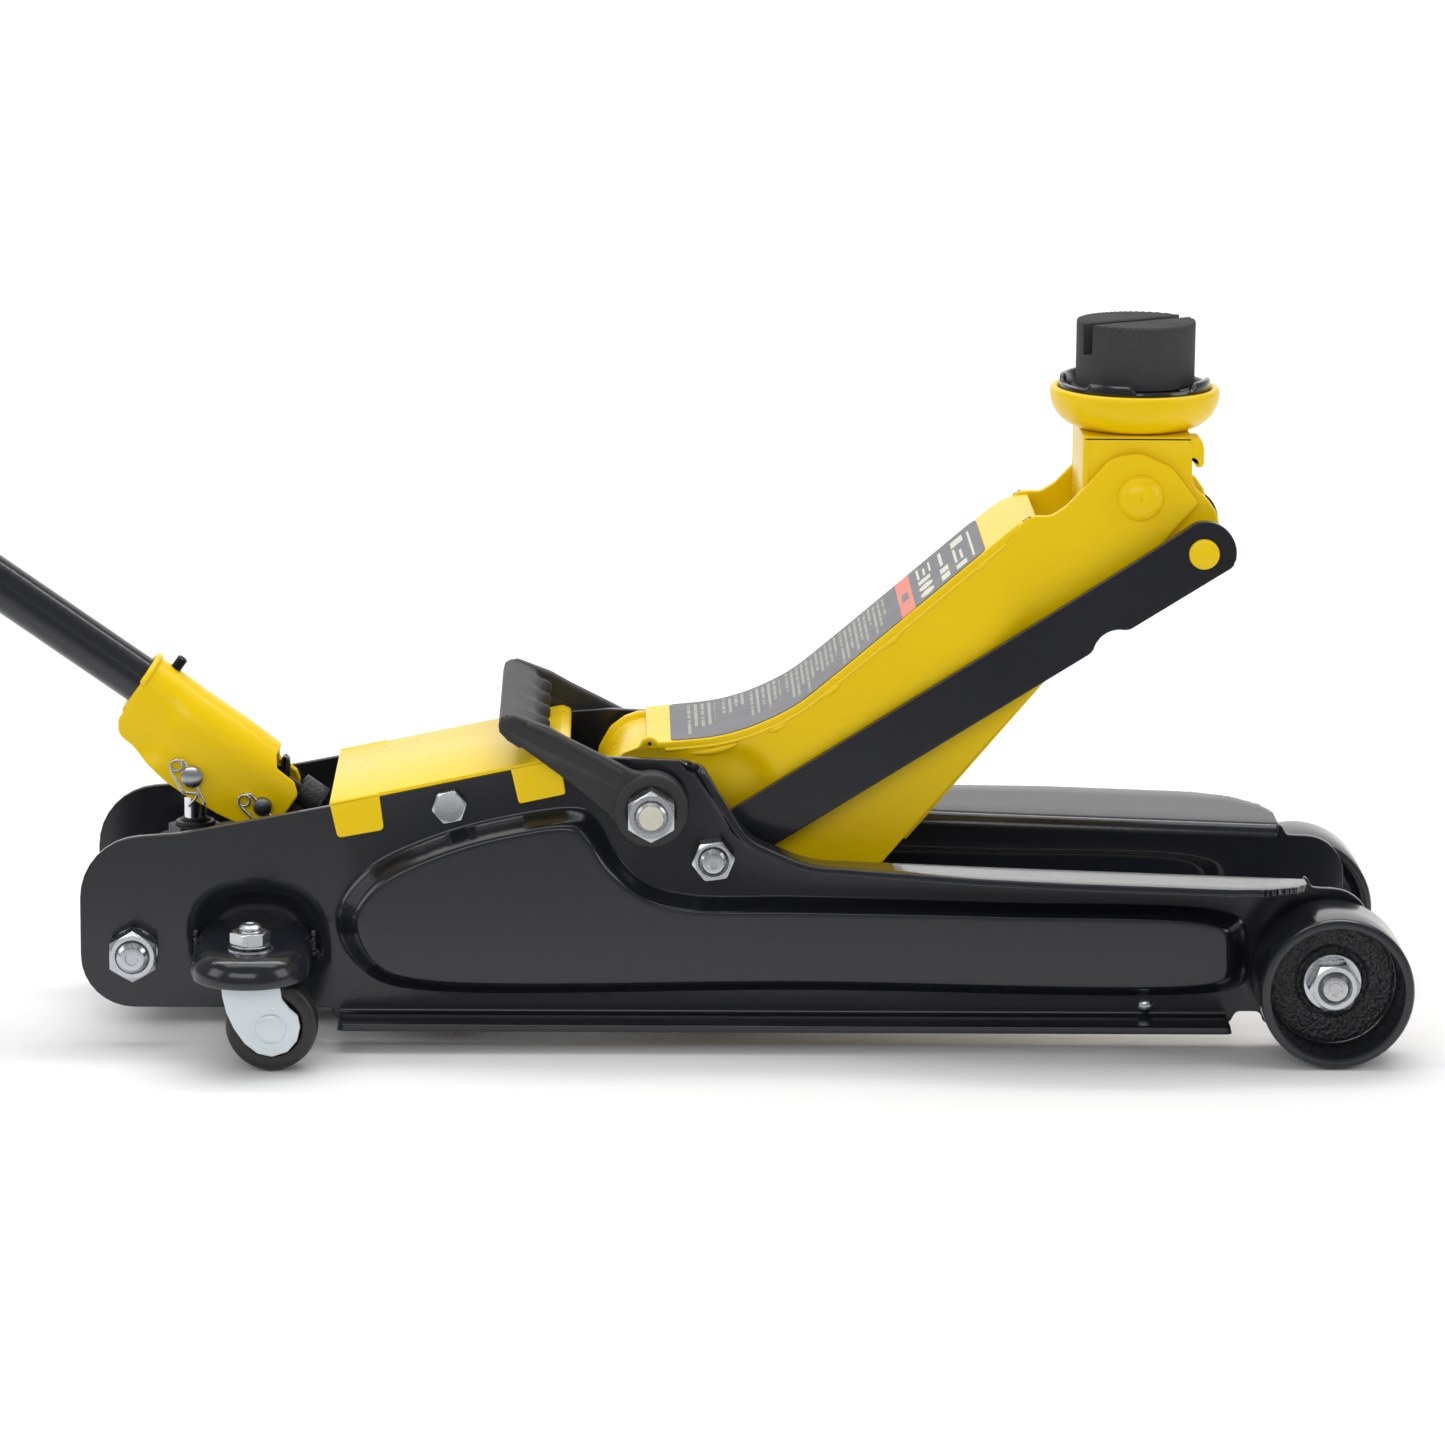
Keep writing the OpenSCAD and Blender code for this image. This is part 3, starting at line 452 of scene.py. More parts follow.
YOK = material("caster_zinc", (0.66, 0.72, 0.76), 0.42, metal=0.35, mottle=0.05, mottle_scale=55, rvar=0.10, peel=0.00003, peel_scale=600, fine=0.00001, streak=(1, 1, 6), edge_wear_and_highlight=(0.85, 0.87, 0.89), edge_wear_and_highlight_amt=0.5, dark=(0.50, 0.55, 0.60), dark_amt=0.3)
TRD = material("caster_tread", (0.012, 0.012, 0.013), 0.38, mottle=0.3, mottle_scale=70, rvar=0.12, peel=0.0001, peel_scale=700, fine=0.00004, edge_wear_and_highlight=(0.09, 0.09, 0.09), edge_wear_and_highlight_amt=0.5, dark=(0.03, 0.03, 0.03), dark_amt=0.5)
SAD = material("saddle_black", (0.010, 0.0105, 0.013), 0.20, mottle=0.25, mottle_scale=60, rvar=0.07, peel=0.00014, peel_scale=240, coat=0.4, coat_rough=0.08, edge_wear_and_highlight=(0.14, 0.14, 0.15), edge_wear_and_highlight_amt=0.7)
PAD = material("pad_rubber", (0.036, 0.036, 0.037), 0.72, mottle=0.16, mottle_scale=50, rvar=0.08, peel=0.00008, peel_scale=900, fine=0.00005, fine_scale=3000, spec=0.35, edge_wear_and_highlight=(0.09, 0.09, 0.09), edge_wear_and_highlight_amt=0.5, dark=(0.024, 0.024, 0.025), dark_amt=0.4)
GRP = material("grip_rubber", (0.018, 0.018, 0.019), 0.66, mottle=0.2, mottle_scale=50, rvar=0.1, peel=0.00012, peel_scale=1100, fine=0.00005, spec=0.4, edge_wear_and_highlight=(0.06, 0.06, 0.06), edge_wear_and_highlight_amt=0.5)
PLA = material("carry_plastic", (0.021, 0.021, 0.022), 0.52, mottle=0.2, mottle_scale=60, rvar=0.08, peel=0.00022, peel_scale=1300, fine=0.00008, fine_scale=3200, spec=0.45, edge_wear_and_highlight=(0.09, 0.09, 0.09), edge_wear_and_highlight_amt=0.5)
OXI = material("black_oxide", (0.03, 0.03, 0.033), 0.35, metal=0.8, mottle=0.2, mottle_scale=200, rvar=0.1, peel=0.00005, peel_scale=900, edge_wear_and_highlight=(0.3, 0.3, 0.32), edge_wear_and_highlight_amt=0.6)
CAPM = material("bolt_end_paint", (0.62, 0.60, 0.50), 0.55, mottle=0.1, mottle_scale=150, rvar=0.1, peel=0.00025, peel_scale=900, dark=(0.30, 0.28, 0.22), dark_amt=0.8, pits=0.0002, pit_scale=900, edge_wear_and_highlight=(0.7, 0.7, 0.62), edge_wear_and_highlight_amt=0.3)


# ---------------------------------------------------------------- sheet: flat outline, mapped onto a curved surface
def inside(P, q):
    """Which of the points q lie in the polygon P."""
    x, y = q[:, 0][:, None], q[:, 1][:, None]
    x1, y1 = P[:, 0][None], P[:, 1][None]
    x2, y2 = np.roll(P[:, 0], -1)[None], np.roll(P[:, 1], -1)[None]
    hit = ((y1 > y) != (y2 > y)) & (x < (x2 - x1) * (y - y1) / np.where(np.abs(y2 - y1) < 1e-12, 1e-12, y2 - y1) + x1)
    return hit.sum(1) % 2 == 1


def near_dist(P, q):
    """Distance of the points q to the closed polygon P."""
    a, b = P, np.roll(P, -1, 0)
    d = b - a
    t = np.clip(((q[:, None] - a[None]) * d[None]).sum(2) / np.maximum((d * d).sum(1), 1e-12)[None], 0, 1)
    return np.linalg.norm(q[:, None] - (a[None] + t[..., None] * d[None]), axis=2).min(1)


def fill(P, pts, holes=()):
    """Triangles over a polygon with inner points and inner closed loops; returns the points and the faces."""
    loops = [P] + list(holes)
    allp = np.concatenate(loops + ([pts] if len(pts) else []))
    edges, s = [], 0
    for l in loops:
        edges += [(s + i, s + (i + 1) % len(l)) for i in range(len(l))]
        s += len(l)
    v, e, f, ov, oe, of_ = delaunay_2d_cdt([Vector((float(p[0]), float(p[1]))) for p in allp], edges, [], 1, 1e-5)
    src = [o[0] if o else None for o in ov]
    co = np.array([[p[0], p[1]] for p in v])
    tri = np.array([t for t in f])
    cen = co[tri].mean(1)
    keep = inside(P, cen)
    for h in holes:
        keep &= ~inside(h, cen)
    out = []
    for t in tri[keep]:
        q = [src[i] for i in t]
        if None not in q and len(set(q)) == 3:
            out.append(tuple(q))
    return allp, out


def sheet(sh, out, h0, h1, put, step, r=0.8, n=3, holes=()):
    """Sheet metal: the outline lies in a flat pattern and put(points, height) bends it into place."""
    P = ccw(out)
    prof = [(r + 0.6, 0.0)] + [(r * (1 - math.sin(a)), r * (1 - math.cos(a))) for a in np.linspace(0, math.pi / 2, n + 1)]
    base = inset(P, r + 0.6)
    lo, hi = base.min(0), base.max(0)
    gx = np.arange(lo[0], hi[0], step[0])
    gy = np.arange(lo[1], hi[1], step[1])
    g = np.array([(x, y) for x in gx for y in gy]) if len(gx) and len(gy) else np.zeros((0, 2))
    if len(g):
        g = g[inside(base, g)]
    if len(g):
        g = g[near_dist(base, g) > 0.45 * min(step)]
    allp, tri = fill(base, g)
    M, K = len(P), len(allp)
    loops = [put(inset(P, d), h0 + h) for d, h in prof[1:]] + [put(inset(P, d), h1 - h) for d, h in prof[1:][::-1]]
    lower, upper = put(allp, h0), put(allp, h1)
    V = [lower] + loops + [upper]
    F = [tuple(reversed(t)) for t in tri]
    start = [0]
    s = K
    for l in loops:
        start.append(s)
        s += M
    start.append(s)
    for k in range(len(start) - 1):
        a, b = start[k], start[k + 1]
        F += [(a + i, a + (i + 1) % M, b + (i + 1) % M, b + i) for i in range(M)]
    F += [tuple(i + s for i in t) for t in tri]
    return sh.add(np.concatenate(V), F)


def smooth01(t):
    t = np.clip(t, 0, 1)
    return t * t * (3 - 2 * t)


# ---------------------------------------------------------------- side plates: pressed sheet with bent flanges
FOOT = [(134.7, 70.4), (149.5, 93.3), (180, 109.7), (221.7, 122.3), (266, 127.3), (273.2, 121.5), (282.2, 105.3), (295.5, 89.1), (318, 81.2), (380, 80), (486, 77.4), (603, 73.4), (617, 67), (619.6, 52), (618.5, 35), (610, 29.4), (380, 28.3), (170, 28.5), (151, 36), (138.5, 51)]
FACE = [(148.2, 71.4), (161.4, 87.7), (190.3, 102.5), (227.1, 113.4), (259.5, 116.9), (267.5, 109.5), (279.5, 92.5), (299.5, 78.9), (320, 73.9), (380, 73), (485.5, 71.3), (595.5, 67.6), (603.6, 63.4), (605.3, 52), (604.6, 40.5), (598, 36.6), (380, 36.8), (180, 37.2), (160, 43.5), (149.8, 56.5)]


def dent(x, z):
    """Depth of the hollow pressed in behind the caster shelf."""
    u = np.abs((x - 93.5) / 37.5)
    v = np.where(z > 52, (z - 52) / 33.5, (52 - z) / 20.0)
    d = (u ** 2.6 + np.abs(v) ** 2.6) ** (1 / 2.6)
    return 8.5 * smooth01((1.0 - d) / 0.42)


def flange_section(w, phi, ri, t=4.0, na=8, ns=4, r=0.7):
    the = 0.0 if w <= 0.01 else (phi if w >= ri * (1 - math.cos(phi)) else math.acos(1 - w / ri))
    ls = max(1.0, (w - ri * (1 - math.cos(the))) / max(math.sin(the), 0.3) if the else 1.0)
    d, nrm = np.array([math.cos(the), -math.sin(the)]), np.array([math.sin(the), math.cos(the)])
    und = [np.array([ri * math.sin(the * k / na), -62 - ri * (1 - math.cos(the * k / na))]) for k in range(na + 1)]
    top = [np.array([(ri + t) * math.sin(the * k / na), -62 - ri + (ri + t) * math.cos(the * k / na)]) for k in range(na + 1)]
    pts = [np.array([-1.2, -62.0])] + und + [und[-1] + d * (ls - r) * k / ns for k in range(1, ns)]
    for a in np.linspace(0, math.pi / 2, 4):
        pts.append(und[-1] + d * (ls - r * (1 - math.sin(a))) + nrm * r * (1 - math.cos(a)))
    for a in np.linspace(math.pi / 2, 0, 4):
        pts.append(top[-1] + d * (ls - r * (1 - math.sin(a))) - nrm * r * (1 - math.cos(a)))
    pts += [top[-1] + d * (ls - r) * k / ns for k in range(ns - 1, 0, -1)] + top[::-1] + [np.array([-1.2, -58.0])]
    ref = (ri + t) * math.sin(the) + (1.0 if the == 0 else 0.6 * math.cos(the))
    return np.array(pts), ref


def side_plate():
    raw = rp([[0, 17.5, 28], [0, 108, 34], [52, 112, 40], [132, 127.3, 0], [253, 152.8, 30], [277, 154.5, 6], [328, 152.5, 8], [352, 114, 30], [385, 100.5, 60], [486, 96.5, 0], [648.5, 91, 2.6], [651.5, 85.5, 3], [683.5, 84, 22], [683.5, 16, 20], [632, 11.3, 3], [627.6, 11.3, 3], [626, 17.5, 4], [613, 17.5, 4], [609.8, 11.3, 3], [135, 11.3, 3], [132.5, 17.5, 3]], 8)
    raw = ccw(raw)
    Q = []
    for i in range(len(raw)):
        a, b = raw[i], raw[(i + 1) % len(raw)]
        m = (a + b) / 2
        step = 4.0
        L = np.linalg.norm(b - a)
        n = max(1, int(math.ceil(L / step)))
        t = list(np.arange(n) / n)
        if L > 100 and m[1] < 12:  # bottom edge: closer points at both ends
            t = sorted(set(t + [k * 0.7 / L for k in range(12)] + [1 - k * 0.7 / L for k in range(1, 12)]))
        if L > 100 and m[0] > 540:
            t = sorted(set(t + [k * 0.8 / L for k in range(34)]))
        Q += [a + (b - a) * k for k in t]
    Q = np.array(Q)
    N = normals2(Q)
    N /= np.linalg.norm(N, axis=1, keepdims=True)
    M = len(Q)
    wx = [318, 323, 327, 338, 350, 365, 380, 416, 470, 520, 604, 625, 640, 647]
    wv = [0, 3, 9, 14, 17, 21, 26, 36, 48, 52, 52, 46, 34, 20]
    secs, refs = [], []
    for i in range(M):
        x, z = Q[i]
        w, phi, ri = 0.0, math.radians(90), 3.0
        if z > 89 and 318 < x < 646.8:
            w = float(np.interp(x, wx, wv))
            if x > 596:
                w += 0.9 * math.sin(x * 2.1) * math.sin(x * 0.83 + 1) + 0.5 * math.sin(x * 4.7)
            phi = math.radians(90 - 5.4 * float(np.interp(x, [350, 400], [0, 1])))
            ri = 4.0
        elif z < 11.5 and 135.5 < x < 609.5:
            d = min(x - 135.5, 609.5 - x)
            w = 24.6 if d > 5 else 19.6 + math.sqrt(max(0, 25 - (5 - d) ** 2))
            ri = 2.2
        p, ref = flange_section(w, phi, ri)
        secs.append(p)
        refs.append(ref)
    # one loop round the outline for each point of the flange sections
    K = len(secs[0])
    loops = []
    for k in range(K):
        l = np.zeros((M, 3))
        for i in range(M):
            n, y = secs[i][k]
            q = Q[i] + N[i] * (n - refs[i])
            l[i] = (q[0], y, q[1])
        loops.append(l)
    B0 = loops[0][:, [0, 2]]
    foot, face = ccw(spline(FOOT, 14)), ccw(spline(FACE, 14))
    svals = [0, .05, .12, .2, .29, .38, .47, .56, .65, .74, .82, .9, .96, 1.0]

    def prof(s):
        return 12 * float(smooth01(np.array(s)))

    g = np.array([(x, z) for x in np.arange(49, 138, 3.0) for z in np.arange(26, 92, 3.0)])
    g = g[inside(B0, g)]
    g = g[near_dist(B0, g) > 3]
    g = g[(~inside(foot, g)) & (near_dist(foot, g) > 1.5)]
    allp, tri = fill(B0, g, [foot])
    nF = len(foot)
    sh = Shape()
    V, F = [], []
    base = 0
    # outer and inner skins
    for side, off in ((0, 0.0), (1, 4.0)):
        y = -62 + off + dent(allp[:, 0], allp[:, 1]) * (1 if len(allp) else 0)
        y[:M] = -62 + off
        y[M:M + nF] = -62 + off
        V.append(np.column_stack([allp[:, 0], y, allp[:, 1]]))
        f = tri if side else [t[::-1] for t in tri]
        F += [tuple(i + base for i in t) for t in f]
        start = [base + M]
        s = base + len(allp)
        for q in svals[1:]:
            rr = foot + (face - foot) * q
            V.append(np.column_stack([rr[:, 0], np.full(nF, -62 + off - prof(q)), rr[:, 1]]))
            start.append(s)
            s += nF
        rr = inset(face, 2.5)
        V.append(np.column_stack([rr[:, 0], np.full(nF, -74.0 + off), rr[:, 1]]))
        start.append(s)
        s += nF
        for k in range(len(start) - 1):
            a, b = start[k], start[k + 1]
            for i in range(nF):
                j = (i + 1) % nF
                q = (a + i, a + j, b + j, b + i)
                F.append(q if side else q[::-1])
        cap = tuple(start[-1] + i for i in range(nF))
        F.append(cap if side else cap[::-1])
        if side == 0:
            outer0 = base
            base = s
        else:
            inner0 = base
            base = s
    # rim and flanges between the skins
    starts = [outer0]
    s = base
    for l in loops[1:-1]:
        V.append(l)
        starts.append(s)
        s += M
    starts.append(inner0)
    for k in range(len(starts) - 1):
        a, b = starts[k], starts[k + 1]
        F += [(a + i, a + (i + 1) % M, b + (i + 1) % M, b + i) for i in range(M)]
    sh.add(np.concatenate(V), F)
    return sh


plate = side_plate()
make("side_plate_near_sheet", plate, BLK, "base", ["side_plate_near"], ang=50)
make("side_plate_far_sheet", plate, BLK, "base", ["side_plate_far"], ang=50, far=True)


# caster shelves: domed half-round shelf with a rolled lip
def shelf():
    sh = Shape()
    prof = [(18, 63.4), (13, 63.2), (9.5, 62.8), (6.5, 61.9), (4.0, 60.3), (2.0, 58.0), (0.7, 55.2), (0.1, 52.2), (0.0, 50.0), (0.5, 48.6), (1.6, 47.8), (2.9, 47.8), (3.8, 48.7), (4.1, 50.2), (4.2, 53), (5.4, 56), (8, 58.3), (12, 59.2), (18, 59.4)]
    loops = []
    for d, z in prof:
        p = [(61 + d, -62 - 50 * k / 6) for k in range(6)]
        p += [(92 - (31 - d) * math.cos(a), -112 - (31 - d) * math.sin(a)) for a in np.linspace(0, math.pi, 33)]
        p += [(123 - d, -112 + 50 * k / 6) for k in range(1, 6)]
        xs = np.linspace(123 - d, 61 + d, 14)
        back = [(x, -61.2 + float(dent(np.array(x), np.array(float(z))))) for x in xs]
        loops.append(np.array([(x, y, z) for x, y in p + back]))
    sh.loft(loops)
    # stem boss under the shelf
    sh.lathe([(6.2, 60), (15, 60), (15, 56), (14.4, 55.2), (6.2, 55.2)], to_z(93, -116), 48, ring=True)
    # weld beads where it meets the side plate
    for x0 in (61.0, 123.0):
        y0 = -62.6
        path = [(x0 + 0.25 * math.sin(k * 2.3), y0 - 0.2 * math.cos(k * 1.7), 47 + k * 1.05) for k in range(13)]
        sh.tube(path, [1.5 + 0.35 * math.sin(k * 2.6) for k in range(13)], 8)
    return sh


cs = shelf()
for f, s in ((False, "near"), (True, "far")):
    make(f"caster_shelf_{s}", cs, BLK, "base", [f"caster_bracket_{s}"], ang=45, far=f)

cn = Shape()
put = to_z(93, -116)
cn.lathe([(6.05, 63.2), (12, 63.2), (12.2, 63.5), (12, 64.6), (6.05, 64.8)], put, 48, ring=True)
cn.lathe([(6.05, 64.8), (8.8, 64.8), (9.8, 65.3), (10.6, 66.2), (10.6, 66.8), (6.05, 66.8)], put, 48, ring=True)
th = np.array([2 * math.pi * i / 72 for i in range(72)])
nut(cn, (93, -116), 18.4, 66.5, 73.4, 10, 6.05, 1, put=put)
make("caster_nuts_near", cn, ZNC, "base", ["caster_nuts"], ang=28)
make("caster_nuts_far", cn, ZNC, "base", [], ang=28, far=True)
st = Shape()
st.lathe([(0, 49), (7.2, 49), (8, 49.6), (8, 50.6), (7.4, 51), (6.0, 51.2), (6.0, 62.5)] + [(r, h) for r, h in thread(6.0, 63, 77.2, 1.75, 0.8, 1.4)], put, 48)
make("caster_stem_near", st, ZNC, "base", ["caster_stems"], ang=28)
make("caster_stem_far", st, ZNC, "base", [], ang=28, far=True)

# caster yokes, axles and wheels
YO = [(77.9, 51.5), (109.0, 51.5), (108.8, 47.0), (109.8, 40.0), (113.6, 35.0), (118.0, 31.0), (119.2, 25.0), (117.5, 17.5), (112.5, 11.6), (104.5, 8.9), (97.0, 10.6), (90.3, 15.9), (84.8, 24.0), (81.0, 32.5), (79.0, 41.0)]
yo = rp([(x, z, 0 if i < 2 else 3.0) for i, (x, z) in enumerate(YO)], 4)
yk = Shape()
for s in (-1, 1):
    yk.slab(yo, -116 + s * 11.25 - 1.25, -116 + s * 11.25 + 1.25, 0.6)
tp = rp([[79, -128.5, 5], [108, -128.5, 5], [108, -103.5, 5], [79, -103.5, 5]], 5)
yk.slab(tp, 51.0, 54.2, 1.1, put=lambda p, h: np.column_stack([p[:, 0], p[:, 1], np.full(len(p), h)]))
yk.lathe([(6.4, 54.9), (6.4, 51.4), (14.6, 51.4), (15, 51.9), (15, 54.2), (14.3, 54.9)], put, 56, ring=True)
yk.lathe([(7, 50.9), (7, 46.5), (8.2, 45.6), (11.4, 45.9), (12.2, 47.5), (12.2, 50.9)], put, 48, ring=True)
pa = to_y((104, 24))
yk.lathe([(0, 129.95), (5.5, 129.9), (7.2, 129.6), (7.9, 129.0), (8, 128.4), (4, 128.3), (4, 103.6), (5.8, 103.5), (6, 102.9), (5, 102.4), (0, 102.3)], pa, 48)
for f, s in ((False, "near"), (True, "far")):
    make(f"caster_fork_{s}", yk, YOK, f"caster_{s}", [f"caster_yoke_{s}"], ang=40, far=f)
cw = Shape()
wp = [(4.1, 106.6), (7.6, 106.6), (8, 107), (8.2, 109.3), (9.0, 109.6), (14.6, 109.4), (15.4, 108.6), (16.2, 107.5), (17.2, 107.2), (20.2, 107.2), (22.4, 107.8), (23.6, 109.2), (24, 111.4), (24, 120.6), (23.6, 122.8), (22.4, 124.2), (20.2, 124.8), (17.2, 124.8), (16.2, 124.5), (15.4, 123.4), (14.6, 122.6), (9.0, 122.4), (8.2, 122.7), (8, 125), (7.6, 125.4), (4.1, 125.4)]
cw.lathe(wp, pa, 72, ring=True)
for f, s in ((False, "near"), (True, "far")):
    make(f"caster_tyre_{s}", cw, TRD, f"caster_wheel_{s}", [f"caster_wheel_{s}"], ang=35, far=f)

# front wheels: turned rim, rough cast disc
pw = to_y(W)
fw = Shape()
fw.lathe([(33.6, 71.5), (34.6, 68.6), (36.2, 67.5), (38.6, 67.4), (39.9, 68.0), (40.5, 69.4), (40.5, 110.2), (40.25, 111.6), (39.5, 112.6), (38.4, 112.8), (36.6, 112.8), (35.6, 112.5), (35.1, 111.6), (34.6, 104), (34.3, 87.2), (33.8, 85.2), (32.4, 84.6), (31, 83), (31, 73)], pw, 128, ring=True)
for f, s in ((False, "near"), (True, "far")):
    make(f"front_wheel_rim_{s}", fw, BLK, f"front_wheel_{s}", [f"front_wheel_{s}"], ang=35, far=f)
fd = Shape()
rr = [8.2, 9.5, 13.5, 16.0, 17.0, 18.0, 18.8] + list(np.arange(19.8, 33.4, 0.85)) + [33.9]
prof = []
for r in rr:
    h = 85.3 if r < 16.5 else (83.4 if r < 18.2 else 84.4 + 1.2 * smooth01((r - 18.2) / 2.5) - 0.9 * smooth01((r - 31) / 3))
    prof.append((r, float(h)))
n = 150
loops = []
for k, (r, h) in enumerate(prof):
    l = []
    for i in range(n):
        t = 2 * math.pi * i / n
        j = 0 if r < 18.5 else float(rng.normal(0, 0.13))
        l.append((W[0] + r * math.cos(t), -(h + j), W[1] + r * math.sin(t)))
    loops.append(np.array(l))
for r, h in ((33.9, 74), (15, 74), (14, 68), (8.2, 68)):
    loops.append(np.array([(W[0] + r * math.cos(2 * math.pi * i / n), -h, W[1] + r * math.sin(2 * math.pi * i / n)) for i in range(n)]))
fd.loft(loops, ring=True)
for f, s in ((False, "near"), (True, "far")):
    make(f"front_wheel_disc_{s}", fd, RGH, f"front_wheel_{s}", [], ang=75, far=f)

# ---------------------------------------------------------------- fasteners of the frame
m16 = Shape()
for s in (-1, 1):
    pass
nA = Shape()
nA.lathe([(8.1, 62.1), (12.4, 62.1), (12.6, 62.5), (12.4, 64.3), (8.1, 64.5)], to_y(A), 48, ring=True)
nut(nA, A, 24, 64.5, 76.5, 30, 8.1, -1, put=to_y(A))
nut(nA, C, 24, 76.4, 89.5, 30, 8.1, -1, put=to_y(C))
nut(nA, W, 24, 88.0, 100.4, 5, 8.1, -1, put=to_y(W))
for f, s in ((False, "near"), (True, "far")):
    make(f"m16_nuts_{s}", nA, ZNC, "base", ["m16_nuts"] if not f else [], ang=26, far=f)
ra = Shape()
ra.lathe(thread(8, 60, 80.2, 2.0, 1.0, 1.6) , to_y(A), 48)
ra.lathe([(0, 61), (8, 61), (8, 0), (0, 0)], to_y(A), 48)
for f, s in ((False, "near"), (True, "far")):
    make(f"rear_tie_rod_{s}", ra, ZNC, "base", ["rear_tie_rod"] if not f else [], ang=26, far=f)
tbb = Shape()
hexhead(tbb, Bt, 16.3, 62.1, 68.6, 12, -1, put=to_y(Bt))
tbb.lathe([(0, 40), (4.6, 40), (5, 40.6), (5, 62.4), (0, 62.4)], to_y(Bt), 32)
for f, s in ((False, "near"), (True, "far")):
    make(f"tie_bolt_{s}", tbb, ZNC, "base", ["tie_bolts"] if not f else [], ang=26, far=f)
lb = Shape()
lb.lathe([(0, 43), (10.2, 43), (11, 43.8), (11, 46.2), (7, 46.4), (7, 52.2), (11, 52.4), (11, 57.9), (7, 58), (7, 61)] + thread(7, 61.5, 77, 2.0, 0.9, 1.4), to_y(D), 48)
for f, s in ((False, "near"), (True, "far")):
    make(f"link_pivot_bolt_{s}", lb, ZNC, "base", ["link_pivot_bolts"] if not f else [], ang=26, far=f)
ln = Shape()
nut(ln, D, 20, 62.1, 73.8, 8, 7.1, -1, put=to_y(D))
for f, s in ((False, "near"), (True, "far")):
    make(f"link_pivot_nut_{s}", ln, ZNC, "base", ["link_pivot_nuts"] if not f else [], ang=26, far=f)
ms = Shape()
ms.lathe([(0, 0), (12.5, 0), (12.5, 56.8), (11.8, 57.5), (8, 57.6), (8, 72)] + thread(8, 72.5, 91.2, 2.0, 1.0, 1.3), to_y(C), 56)
for f, s in ((False, "near"), (True, "far")):
    make(f"main_shaft_{s}", ms, STL, "base", ["main_pivot_shaft"] if not f else [], ang=26, far=f)
cp = Shape()
cp.lathe([(0, 91.75), (3, 91.7), (5.6, 91.55), (6.3, 91.2), (6.4, 90.6), (0, 90.6)], to_y(C), 40)
for f, s in ((False, "near"), (True, "far")):
    make(f"shaft_end_seal_{s}", cp, CAPM, "base", [], ang=40, far=f)
ax = Shape()
ax.lathe([(0, 0), (8, 0), (8, 62), (13, 62.1), (13, 66.2), (12.4, 66.8), (8, 66.9), (8, 86)] + thread(8, 86.5, 102, 2.0, 1.0, 1.5), to_y(W), 56)
for f, s in ((False, "near"), (True, "far")):
    make(f"front_axle_{s}", ax, STL, "base", ["front_axle"] if not f else [], ang=26, far=f)
wa = Shape()
wa.lathe([(8.1, 85.4), (15.2, 85.4), (15.5, 85.8), (15.5, 87.3), (15.1, 87.8), (8.1, 87.9)], to_y(W), 56, ring=True)
for f, s in ((False, "near"), (True, "far")):
    make(f"axle_washer_{s}", wa, ZNC, "base", ["front_axle_washers"] if not f else [], ang=40, far=f)
fr = Shape()
fr.lathe([(0, 56), (3.4, 56.1), (4.2, 56.8), (4.2, 57.9), (2.5, 58), (2.5, 62), (4.2, 62.1), (4.2, 62.8), (3.6, 64), (2.2, 64.9), (0, 65.2)], to_y((564.6, 20.6)), 32)
for f, s in ((False, "near"), (True, "far")):
    make(f"flange_rivet_{s}", fr, ZNC, "base", ["flange_rivets"] if not f else [], ang=40, far=f)


# ---------------------------------------------------------------- lift arm: two sides, curved top plate, tube, web and weld beads
TOP = spline([(298.6, 158.8), (306.5, 159.2), (314.6, 159.9), (322.7, 160.6), (330.8, 161.5), (339, 163.0), (347.1, 165.2), (355.2, 168.0), (363.3, 171.6), (371.4, 175.7), (379.5, 180.7), (387.5, 187.0), (395.6, 193.9), (403.6, 200.6), (411.6, 207.5), (427.7, 221.3), (443.7, 235.1), (459.7, 249.0), (475.6, 262.6), (487.0, 272.2), (492.5, 276.2), (498.0, 278.3), (503.4, 279.0)], 6, closed=False)


def wide(x, z):
    """The sides stand wider above the link bars than at the lever and the saddle end."""
    x, z = np.asarray(x, float), np.asarray(z, float)
    w = (x - D[0]) * -0.534 + (z - D[1]) * 0.8455
    a = smooth01((w + 6.0) / 13.0) * smooth01((506 - x) / 30.0)
    # no widening where the sides sweep past the link bar bolts
    th = np.clip(np.arctan2(z - C[1], x - C[0]), -1.26, 0.13)
    r = np.hypot(D[0] - C[0], D[1] - C[1])
    gap = np.hypot(x - C[0] - r * np.cos(th), z - C[1] - r * np.sin(th))
    a = a * smooth01((np.hypot(x - C[0], z - C[1]) - 20.5) / 9.0) * smooth01((gap - 15) / 12.0)
    return 6.2 * a


def even(P, step):
    """Open line with evenly spaced points."""
    d = np.concatenate([[0], np.cumsum(np.linalg.norm(np.diff(P, axis=0), axis=1))])
    s = np.linspace(0, d[-1], int(d[-1] / step) + 1)
    return np.column_stack([np.interp(s, d, P[:, 0]), np.interp(s, d, P[:, 1])]), s


TC, TS = even(TOP, 1.5)
k5 = np.ones(7) / 7
TCs = TC.copy()
for c in (0, 1):
    TCs[3:-3, c] = np.convolve(TC[:, c], k5, "valid")
TT = np.gradient(TCs, axis=0)
TT /= np.linalg.norm(TT, axis=1, keepdims=True)
TN = np.column_stack([-TT[:, 1], TT[:, 0]])


